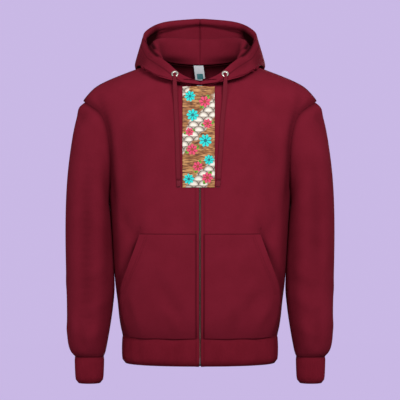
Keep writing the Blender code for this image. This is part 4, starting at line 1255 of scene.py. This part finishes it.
# the neck seam's inside with the hollow beside it, the side under the rim, the rim's front, each with
# painted shade; the first paints shade only
hoodFolds = (
    ("at", ((0.105, -0.010, 0.004), (0.080, 0.034, 0.008), (0.050, 0.058, 0.008), (0.001, 0.078, 0.007)),
     0.010, 0.0, 0.95),
    ("at", ((0.138, 0.012, 0.029), (0.132, -0.030, 0.002), (0.124, -0.060, -0.018)),
     0.020, -0.0008, 0.42),
    ("at", ((0.120, -0.050, 0.008), (0.095, -0.082, -0.014), (0.074, -0.102, -0.030)),
     0.010, -0.0012, 0.30),
)
# two creases where the rolled rim folds over, the hollow behind them, and the rim's underside at the back,
# each painted dark as shade
hoodGaps = (
    (((0.1215, 0.012, 0.0440), (0.1180, -0.004, 0.0382), (0.1150, -0.0172, 0.0315),
      (0.1107, -0.0290, 0.0254), (0.1058, -0.0411, 0.0194), (0.1015, -0.0463, 0.0148),
      (0.0964, -0.0526, 0.0106), (0.0912, -0.0562, 0.0072), (0.0866, -0.0566, 0.0040)),
     0.0056, 0.0014, 1.7, (0.0, 0.0, 0.0)),
    (((0.1150, 0.010, 0.0440), (0.1109, -0.005, 0.0394), (0.1068, -0.0220, 0.0317),
      (0.1015, -0.0325, 0.0250)),
     0.0064, 0.0014, 1.8, (0.0, 0.0, 0.0)),
    (((0.110, 0.114, 0.074), (0.1175, 0.102, 0.062), (0.1180, 0.080, 0.042)),
     0.0180, 0.0, 1.4, (-1.0, 0.0, 0.0)),
    (((0.0008, 0.1600, 0.1000), (0.0178, 0.1590, 0.0980), (0.0322, 0.1560, 0.0955),
      (0.0467, 0.1535, 0.0925), (0.0588, 0.1492, 0.0900), (0.0717, 0.1435, 0.0862),
      (0.0850, 0.1345, 0.0820), (0.0973, 0.1257, 0.0761), (0.1114, 0.1107, 0.0639)),
     0.0034, 0.0008, 0.9, (0.0, -0.9, -0.4)),
)


def hoodWall(bm):
    # thickness factor: the rim's casing is a soft roll
    away = nearness(bm, [vert.co for vert in borderVerts(bm, "across1")])[0]
    place = np.clip(away / hoodPlan["casing"], 0, 1)
    roundness = np.sqrt(np.clip(1 - (2 * place - 1) ** 2, 0, 1))
    return 1 + hoodPlan["roll"] * roundness * (away < hoodPlan["casing"])


def hoodShape(bm):
    # the rim sags forward at the two sides of the opening
    spots = spotsOf(bm)
    sign = np.sign(spots[:, 0].mean())
    for middle, reach, way in hoodPlan["sags"]:
        middle, way = np.array(onSide((middle, way), sign))
        away = np.linalg.norm(spots - middle, axis=1)
        spots = spots + bell(away, reach)[:, None] * way
    setSpots(bm, spots)


def gapsOn(gaps, sign):
    return [(onSide(line, sign), *sizes, onSide([facing], sign)[0]) for line, *sizes, facing in gaps]


for side, sign in sides:
    makeCloth("hood" + side, {
        "nodes": (("hood_" + side.lower(), (sign * 0.05, 0.5, 0)),), "levels": 3, "thickness": 0.0035,
        "first": lambda co: abs(co.x) < 0.0003 and co.y > 0, "origin": (0, 0.075, -0.002),
        # the rim's row of stitches carries strong painted shade: the shadow line under the rolled rim
        "material": "fleece", "slot": "burgundy_fleece", "pieceShade": 0.08, "rowShade": 0.6, "round": 0.0012,
        "before": hoodShape, "folds": foldsOn(hoodFolds, sign), "gaps": gapsOn(hoodGaps, sign),
        "seams": (("up0", 0.0012, 0.0050, 0.45), ("across0", 0.0007, 0.0030, 0.6)),
        "wall": hoodWall, "rows": (("across1", hoodPlan["rimStitch"]),),
        "flat": (0.280, 0.380), "area": 0.090, "held": "folded", "restsOn": ["back_" + side.lower()],
    })


# Hem and cuffs: the rib's own fine ribs on its band

ribPlan = {
    "pitch": 0.0029, "height": 0.00042, "flatEnds": 0.06, "sameRow": 0.001,
    "roll": 0.0060, "rollReach": 0.0130, "rollPower": 2.4,  # how the lower edge turns in
}


def levelRibs(bm):
    # takes the coarse ribs of the frame out: each valley goes onto the line between its neighbours
    up = bm.verts.layers.float["up"]
    rows = {}
    for vert in bm.verts:
        rows.setdefault(round(vert[up], 3), []).append(vert)
    for verts in rows.values():
        moved = {}
        for vert in verts:
            beside = [edge.other_vert(vert) for edge in vert.link_edges]
            beside = [other for other in beside if abs(other[up] - vert[up]) < ribPlan["sameRow"]]
            if len(beside) == 2:
                middle = (beside[0].co + beside[1].co) / 2
                if (vert.co - middle).dot(vert.normal) < 0:
                    moved[vert] = middle
        for vert, spot in moved.items():
            vert.co = spot
    bm.normal_update()


def raiseRibs(bm):
    # fine ribs along the band, flattened at its two edges, and the lower edge rolled in
    layer = bm.loops.layers.uv["cloth"]
    up = bm.verts.layers.float["up"]
    lift = []
    for vert in bm.verts:
        spot = vert.link_loops[0][layer].uv
        fade = min(min(vert[up], 1 - vert[up]) / ribPlan["flatEnds"], 1.0)
        lift.append(ribPlan["height"] * fade * math.cos(math.tau * spot.x / ribPlan["pitch"]))
    spots = spotsOf(bm) + normalsOf(bm) * np.array(lift)[:, None]
    low = np.clip(1 - (spots[:, 2] - spots[:, 2].min()) / ribPlan["rollReach"], 0, 1)
    ways = normalsOf(bm)
    ways[:, 2] = 0
    setSpots(bm, spots - ways * (ribPlan["roll"] * low ** ribPlan["rollPower"])[:, None])


def hemShape(bm):
    raiseRibs(bm)
    placketBand(bm)


hemFolds = (
    ("front", ((0.060, -0.640), (0.064, -0.665), (0.062, -0.690)), 0.012, 0.0012),
    ("front", ((0.125, -0.640), (0.130, -0.665), (0.128, -0.690)), 0.012, -0.0014),
    ("front", ((-0.075, -0.640), (-0.078, -0.665), (-0.076, -0.690)), 0.012, 0.0012),
    ("front", ((-0.135, -0.640), (-0.138, -0.665), (-0.136, -0.690)), 0.012, -0.0014),
    ("rear", ((0.050, -0.640), (0.052, -0.665), (0.050, -0.690)), 0.014, 0.0014),
    ("rear", ((-0.030, -0.640), (-0.033, -0.665), (-0.031, -0.690)), 0.014, -0.0014),
    ("rear", ((-0.110, -0.640), (-0.112, -0.665), (-0.110, -0.690)), 0.014, 0.0014),
)
makeCloth("hemRib", {
    "nodes": (("hem_rib", (0, -0.5, -0.66)),), "levels": 2, "thickness": 0.003,
    "first": lambda co: co.z < -0.692, "origin": (0.002, -0.13, -0.69),
    "material": "rib", "slot": "burgundy_rib", "before": levelRibs, "folds": hemFolds, "shape": hemShape,
    # the lower edge gets painted shade where it rolls in
    "seams": (("up1", 0.0004, 0.0025, 0.14), ("up0", 0.0, 0.0030, 0.30, 0.010)),
    "rows": (("across0", 0.0074), ("across1", 0.0074)),
    "flat": (1.020, 0.126), "area": 0.065, "held": "stretched", "restsOn": ["front_left", "front_right"],
})
for side, sign in sides:
    makeCloth("cuff" + side, {
        "nodes": (("cuff_" + side.lower(), (sign * 0.5, 0, -0.7)),), "levels": 2, "thickness": 0.003,
        "first": lambda co: co.z < -0.737, "origin": (sign * 0.2537, 0.05, -0.737),
        "material": "rib", "slot": "burgundy_rib", "before": levelRibs, "shape": raiseRibs,
        # the lower edge gets painted shade where it rolls in
        "seams": (("up1", 0.0006, 0.0028, 0.25), ("up0", 0.0, 0.0030, 0.25, 0.010)),
        "flat": (0.220, 0.122), "area": 0.0135, "held": "stretched",
        "restsOn": ["sleeve_" + side.lower() + "_front"],
    })


# Pockets

pocketPlan = {
    "lift": 0.0004, "openLift": 0.0042, "openReach": 0.034, "openTop": -0.3950, "openBottom": -0.530,
    "fold": 0.7, "foldWidth": 0.020, "foldEdge": 0.0008,
    "stitchHeights": (-0.535, -0.400),
}


def openingDistance(bm):
    low = pocketPlan["openBottom"]
    high = pocketPlan["openTop"]
    return nearness(bm, [vert.co for vert in borderVerts(bm, "across1") if low < vert.co.z < high])[0]


def pocketShape(bm):
    # the slanted opening stands off the front, and is held down at its two ends
    low = pocketPlan["openBottom"]
    high = pocketPlan["openTop"]
    up = np.clip((spotsOf(bm)[:, 2] - low) / (high - low), 0, 1)
    ends = np.clip(np.sin(np.pi * up), 0, 1) ** 0.5
    near = np.clip(1 - openingDistance(bm) / pocketPlan["openReach"], 0, 1)
    lift = pocketPlan["lift"] + pocketPlan["openLift"] * ends * eased(near)
    setSpots(bm, spotsOf(bm) + normalsOf(bm) * lift[:, None])


def pocketWall(bm):
    # the opening's edge is folded under, so it is thicker
    beyond = (openingDistance(bm) - pocketPlan["foldWidth"]) / pocketPlan["foldEdge"]
    return 1 + pocketPlan["fold"] / (1 + np.exp(beyond))


pocketFolds = {
    "Left": (
        ("front", ((0.168, -0.545), (0.140, -0.585), (0.120, -0.628)), 0.014, 0.0022),
        ("front", ((0.090, -0.555), (0.078, -0.595), (0.074, -0.626)), 0.014, -0.0016),
        ("front", ((0.150, -0.520), (0.120, -0.545), (0.095, -0.580)), 0.014, -0.0016),
        ("front", ((0.110, -0.440), (0.085, -0.480), (0.055, -0.500)), 0.020, 0.0012),
    ),
    "Right": (
        ("front", ((-0.160, -0.530), (-0.140, -0.585), (-0.128, -0.628)), 0.014, 0.0022),
        ("front", ((-0.100, -0.480), (-0.066, -0.540), (-0.030, -0.600)), 0.014, -0.0018),
        ("front", ((-0.090, -0.555), (-0.060, -0.590), (-0.045, -0.626)), 0.013, 0.0018),
        ("front", ((-0.115, -0.440), (-0.085, -0.470), (-0.050, -0.480)), 0.020, 0.0012),
    ),
}
for side, sign in sides:
    makeCloth("pocket" + side, {
        "nodes": (("pocket_" + side.lower(), (sign * 0.1, -0.5, -0.5)),), "levels": 3, "thickness": 0.0022,
        "first": lambda co: co.z < -0.6245, "origin": (0, -0.14, -0.63),
        "material": "fleece", "slot": "burgundy_fleece", "pieceShade": 0.05, "rowShade": 0.12,
        "folds": pocketFolds[side], "shape": pocketShape, "wall": pocketWall,
        "seams": (("across0", 0.0014, 0.0026, 0.8), ("up0", 0.0018, 0.0300, 0.10),
                  ("up1", 0.0014, 0.0022, 0.7)),
        "rows": (("across1", 0.0160, *pocketPlan["stitchHeights"]),
                 ("across1", 0.0215, *pocketPlan["stitchHeights"]), ("up1", 0.0022)),
        "flat": (0.180, 0.235), "area": 0.033, "held": "hung", "restsOn": ["front" + side],
    })


# Printed panel

panelPlan = {"lift": 0.0003, "waves": 0.00025, "wavesUp": 210, "wavesAcross": 90}


def panelShape(bm):
    # flat, with faint waves
    spots = spotsOf(bm)
    waves = np.sin(spots[:, 2] * panelPlan["wavesUp"]) * np.sin(spots[:, 0] * panelPlan["wavesAcross"])
    setSpots(bm, spots + normalsOf(bm) * (panelPlan["waves"] * waves + panelPlan["lift"])[:, None])


makeCloth("chestPanel", {
    "nodes": (("chest_panel", (0, -0.5, -0.2)),), "levels": 2, "thickness": 0.0009, "round": 0.0003,
    "first": lambda co: co.z < -0.2895, "origin": (-0.04, -0.14, -0.29),
    "material": "panel", "slot": "printed_cloth", "shape": panelShape,
    "flat": (0.0725, 0.2275), "area": 0.0164, "held": "laid", "restsOn": ["frontLeft", "frontRight"],
})


# Zip: two rows of teeth on their tapes, with the stop at the bottom

zipParts = {
    "pitch": 0.0024, "tooth": (0.0019, 0.0017, 0.0011), "head": 0.72, "toothCorner": 0.00025,
    "shift": 0.0004, "low": -0.6885, "high": -0.0680, "rise": 0.0002,
    "stop": (0.0046, 0.0024, 0.0050), "stopCorner": 0.0006, "stopBack": 0.0004,
}


def zipLine():
    # middle of the chain's front face, from the hem up
    tree = BVHTree.FromObject(frame["nodes"]["zip_chain"], bpy.context.evaluated_depsgraph_get())
    count = round((zipParts["high"] - zipParts["low"]) / zipParts["pitch"])
    points = []
    for step in range(count + 1):
        height = zipParts["low"] + (zipParts["high"] - zipParts["low"]) * step / count
        hit = tree.ray_cast(Vector((0, -1, height)), Vector((0, 1, 0)))[0]
        if hit:
            points.append(hit)
    return points


def makeTeeth():
    bm = bmesh.new()
    bmesh.ops.create_cube(bm, size=1.0)
    bmesh.ops.scale(bm, verts=bm.verts, vec=zipParts["tooth"])
    # the head beside the middle is narrower than the root
    for vert in bm.verts:
        if vert.co.x < 0:
            vert.co.z *= zipParts["head"]
    edges = [edge for edge in bm.edges if edge.verts[0].co.y < 0 and edge.verts[1].co.y < 0]
    bmesh.ops.bevel(bm, geom=edges, offset=zipParts["toothCorner"], segments=1, profile=0.5,
                    affect="EDGES", material=-1)
    points = zipLine()
    frames = []
    for index, (low, high) in enumerate(zip(points, points[1:])):
        side = 1 if index % 2 else -1
        along = (high - low).normalized()
        deep = along.cross(Vector((1, 0, 0)))
        turn = Matrix((Vector((side, 0, 0)), deep, along * side)).transposed()
        middle = (low + high) / 2 + deep * (zipParts["tooth"][1] / 2 - zipParts["rise"])
        middle.x = side * zipParts["shift"]
        frames.append(Matrix.Translation(middle) @ turn.to_4x4())
    bm.verts.index_update()
    made = scatter("zipTeeth", bm, frames, ["zipMetal"])
    made.data.polygons.foreach_set("use_smooth", [False] * len(made.data.polygons))
    wear(made, ["zip_chain"])
    bm.free()
    base = Matrix.Translation((points[0].x, points[0].y + zipParts["stopBack"], zipParts["low"]))
    stop = softBlock("zipStop", zipParts["stop"], zipParts["stopCorner"], base, "stopMetal")
    wear(stop, [])
    print("zip", len(frames), "teeth", "from", round(points[0].z, 4), "to", round(points[-1].z, 4))


makeTeeth()


# Zip tape: two woven strips behind the front edges

tapePlan = {"inner": 0.0002, "outer": 0.0136, "low": -0.6900, "high": -0.0670, "thickness": 0.0006,
            "depth": -0.13}


def makeTape():
    tree = BVHTree.FromObject(frame["nodes"]["zip_tape"], bpy.context.evaluated_depsgraph_get())
    bm = bmesh.new()
    depth = tapePlan["depth"]
    for sign in (1, -1):
        strip = bmesh.ops.create_grid(bm, x_segments=6, y_segments=200, size=0.5)["verts"]
        for vert in strip:
            x = sign * (tapePlan["inner"] + (tapePlan["outer"] - tapePlan["inner"]) * (vert.co.x + 0.5))
            z = tapePlan["low"] + (tapePlan["high"] - tapePlan["low"]) * (vert.co.y + 0.5)
            hit = tree.ray_cast(Vector((x, -1, z)), Vector((0, 1, 0)))[0]
            depth = hit.y if hit else depth  # past the frame's tape the last depth goes on
            vert.co = (x, depth, z)
    bm.normal_update()
    bmesh.ops.reverse_faces(bm, faces=[face for face in bm.faces if face.normal.y > 0])
    mesh = bpy.data.meshes.new("zipTape")
    bm.to_mesh(mesh)
    bm.free()
    made = addObject("zipTape", mesh, ["tape"])
    modifier(made, "SOLIDIFY", thickness=tapePlan["thickness"], offset=-1.0, use_rim=True)
    made = baked(made)
    made.data.shade_smooth()
    wear(made, ["zip_tape"])


makeTape()


def dress(node, material):
    # a metal part whose own form stays gets its finish
    for slot in frame["nodes"][node].material_slots:
        slot.link = "OBJECT"
        slot.material = finishes[material]


for node, material in (("zip_slider", "zipMetal"), ("zip_pull", "zipMetal"), ("eyelet_left", "nickel"),
                       ("eyelet_right", "nickel")):
    dress(node, material)


# Labels: a wide satin one over a narrower one, both plain

labelPlan = {"top": -0.0028, "thickness": 0.0005, "round": 0.00015, "wavesAcross": 7, "wavesUp": 4}
labelCuts = {
    # the corners' x at top and bottom, the bottom corners' heights, depth, and how far it curls forward
    "neckLabel": {
        "node": "neck_label", "flat": (0.0228, 0.0345),
        "top": (-0.0150, 0.0078), "low": (-0.0105, 0.0118), "ends": (-0.0385, -0.0330),
        "depth": 0.0742, "curl": 0.0016, "wave": 0.0004,
    },
    "careLabel": {
        "node": "care_label", "flat": (0.0140, 0.0480),
        "top": (-0.0092, 0.0050), "low": (-0.0075, 0.0060), "ends": (-0.0510, -0.0500),
        "depth": 0.0762, "curl": 0.0010, "wave": 0.0003,
    },
}


def between(ends, share):
    return ends[0] + (ends[1] - ends[0]) * share


def makeLabel(name, plan):
    bm = bmesh.new()
    bmesh.ops.create_grid(bm, x_segments=12, y_segments=18, size=0.5)
    for vert in bm.verts:
        u = vert.co.x + 0.5
        v = vert.co.y + 0.5
        across = between((between(plan["low"], u), between(plan["top"], u)), v)
        height = between((between(plan["ends"], u), labelPlan["top"]), v)
        ripple = math.sin(labelPlan["wavesAcross"] * u + labelPlan["wavesUp"] * v) * (1 - v)
        bow = plan["curl"] * math.sin(math.pi * v) + plan["wave"] * ripple
        vert.co = (across, plan["depth"] - bow, height)
    bm.normal_update()
    bmesh.ops.reverse_faces(bm, faces=[face for face in bm.faces if face.normal.y > 0])
    mesh = bpy.data.meshes.new(name)
    bm.to_mesh(mesh)
    bm.free()
    made = addObject(name, mesh, [name])
    modifier(made, "SOLIDIFY", thickness=labelPlan["thickness"], offset=-1.0, use_rim=True)
    modifier(made, "BEVEL", width=labelPlan["round"], segments=2, limit_method="ANGLE",
             angle_limit=math.radians(clothPlan["roundFrom"]), profile=0.5)
    made = baked(made)
    made.data.shade_smooth()
    wear(made, [plan["node"]])


for name, plan in labelCuts.items():
    makeLabel(name, plan)


# Bar tacks over the pocket corners

tackPlan = {"places": ((0.1370, -0.3860), (-0.1345, -0.3840)), "count": 8, "step": 0.0008, "lift": 0.0001}


def makeTacks():
    frames = []
    for x, z in tackPlan["places"]:
        front = bpy.data.objects["frontLeft" if x > 0 else "frontRight"]
        tree = BVHTree.FromObject(front, bpy.context.evaluated_depsgraph_get())
        for step in range(tackPlan["count"]):
            start = Vector((x, -1, z + step * tackPlan["step"]))
            place, normal = tree.ray_cast(start, Vector((0, 1, 0)))[:2]
            across = (Vector((1, 0, 0)) - normal * normal.x).normalized()
            turn = Matrix((across, normal.cross(across), normal)).transposed().to_4x4()
            frames.append(Matrix.Translation(place + normal * tackPlan["lift"]) @ turn)
    made = scatter("barTacks", stitchTemplate(), frames, ["thread"])
    wear(made, [])


makeTacks()
print("tape, labels and tacks made")


# Stage and light

stagePlan = {
    "colour": (0.586, 0.481, 0.785), "grain": (0.582, 0.477, 0.781), "grainSize": 900.0,
    "floor": -0.745, "reach": 1.2, "soft": (0.95, 0.93, 1.0), "softStrength": 0.20,
}
# place, size and power
lamps = {
    "key": ((0.9, -2.8, 1.3), 1.2, 83),
    "fill": ((-1.3, -2.9, 0.7), 1.4, 38),
    "back": ((0.7, 3.0, 0.5), 1.6, 60),
    "left": ((2.8, -0.5, 0.1), 1.2, 15),
    "right": ((-2.8, -0.5, 0.1), 1.2, 15),
}
lampTarget = (0, 0, -0.3)


def stageFinish(plan):
    finish = Finish("stage", {"Roughness": 1.0, "Specular IOR Level": 0.0, "Base Color": (0, 0, 0, 1),
                              "Emission Strength": 1.0})
    grain = finish.noise(finish.objectPlace(), plan["grainSize"], 2.0)
    finish.feed("Emission Color", finish.blend(grain, plan["colour"], plan["grain"]))
    return finish.material


def makeStage(plan):
    # a plain floor; the world behind it has the same tone
    bm = bmesh.new()
    bmesh.ops.create_grid(bm, x_segments=1, y_segments=1, size=plan["reach"],
                          matrix=Matrix.Translation((0, 0, plan["floor"])))
    mesh = bpy.data.meshes.new("floor")
    bm.to_mesh(mesh)
    bm.free()
    made = addObject("floor", mesh, [stageFinish(plan)])
    made.visible_diffuse = False  # its own glow stays off the cloth
    made.visible_glossy = False


def areaLight(name, place, size, energy):
    data = bpy.data.lights.new(name, "AREA")
    data.shape = "DISK"
    data.size = size
    data.energy = energy
    light = bpy.data.objects.new(name, data)
    light.location = place
    light.rotation_euler = (Vector(lampTarget) - Vector(place)).to_track_quat("-Z", "Y").to_euler()
    scene.collection.objects.link(light)


def makeWorld(plan):
    # soft light all round, and the floor's tone where the camera looks past the floor
    world = bpy.data.worlds.new("studio")
    world.use_nodes = True
    nodes = world.node_tree.nodes
    links = world.node_tree.links
    lit = nodes["Background"]
    lit.inputs["Color"].default_value = (*plan["soft"], 1)
    lit.inputs["Strength"].default_value = plan["softStrength"]
    seen = nodes.new("ShaderNodeBackground")
    seen.inputs["Color"].default_value = (*plan["colour"], 1)
    mix = nodes.new("ShaderNodeMixShader")
    links.new(nodes.new("ShaderNodeLightPath").outputs["Is Camera Ray"], mix.inputs[0])
    links.new(lit.outputs[0], mix.inputs[1])
    links.new(seen.outputs[0], mix.inputs[2])
    links.new(mix.outputs[0], nodes["World Output"].inputs["Surface"])
    scene.world = world


makeStage(stagePlan)
makeWorld(stagePlan)
for name, lamp in lamps.items():
    areaLight(name, *lamp)
print("stage and lights set")
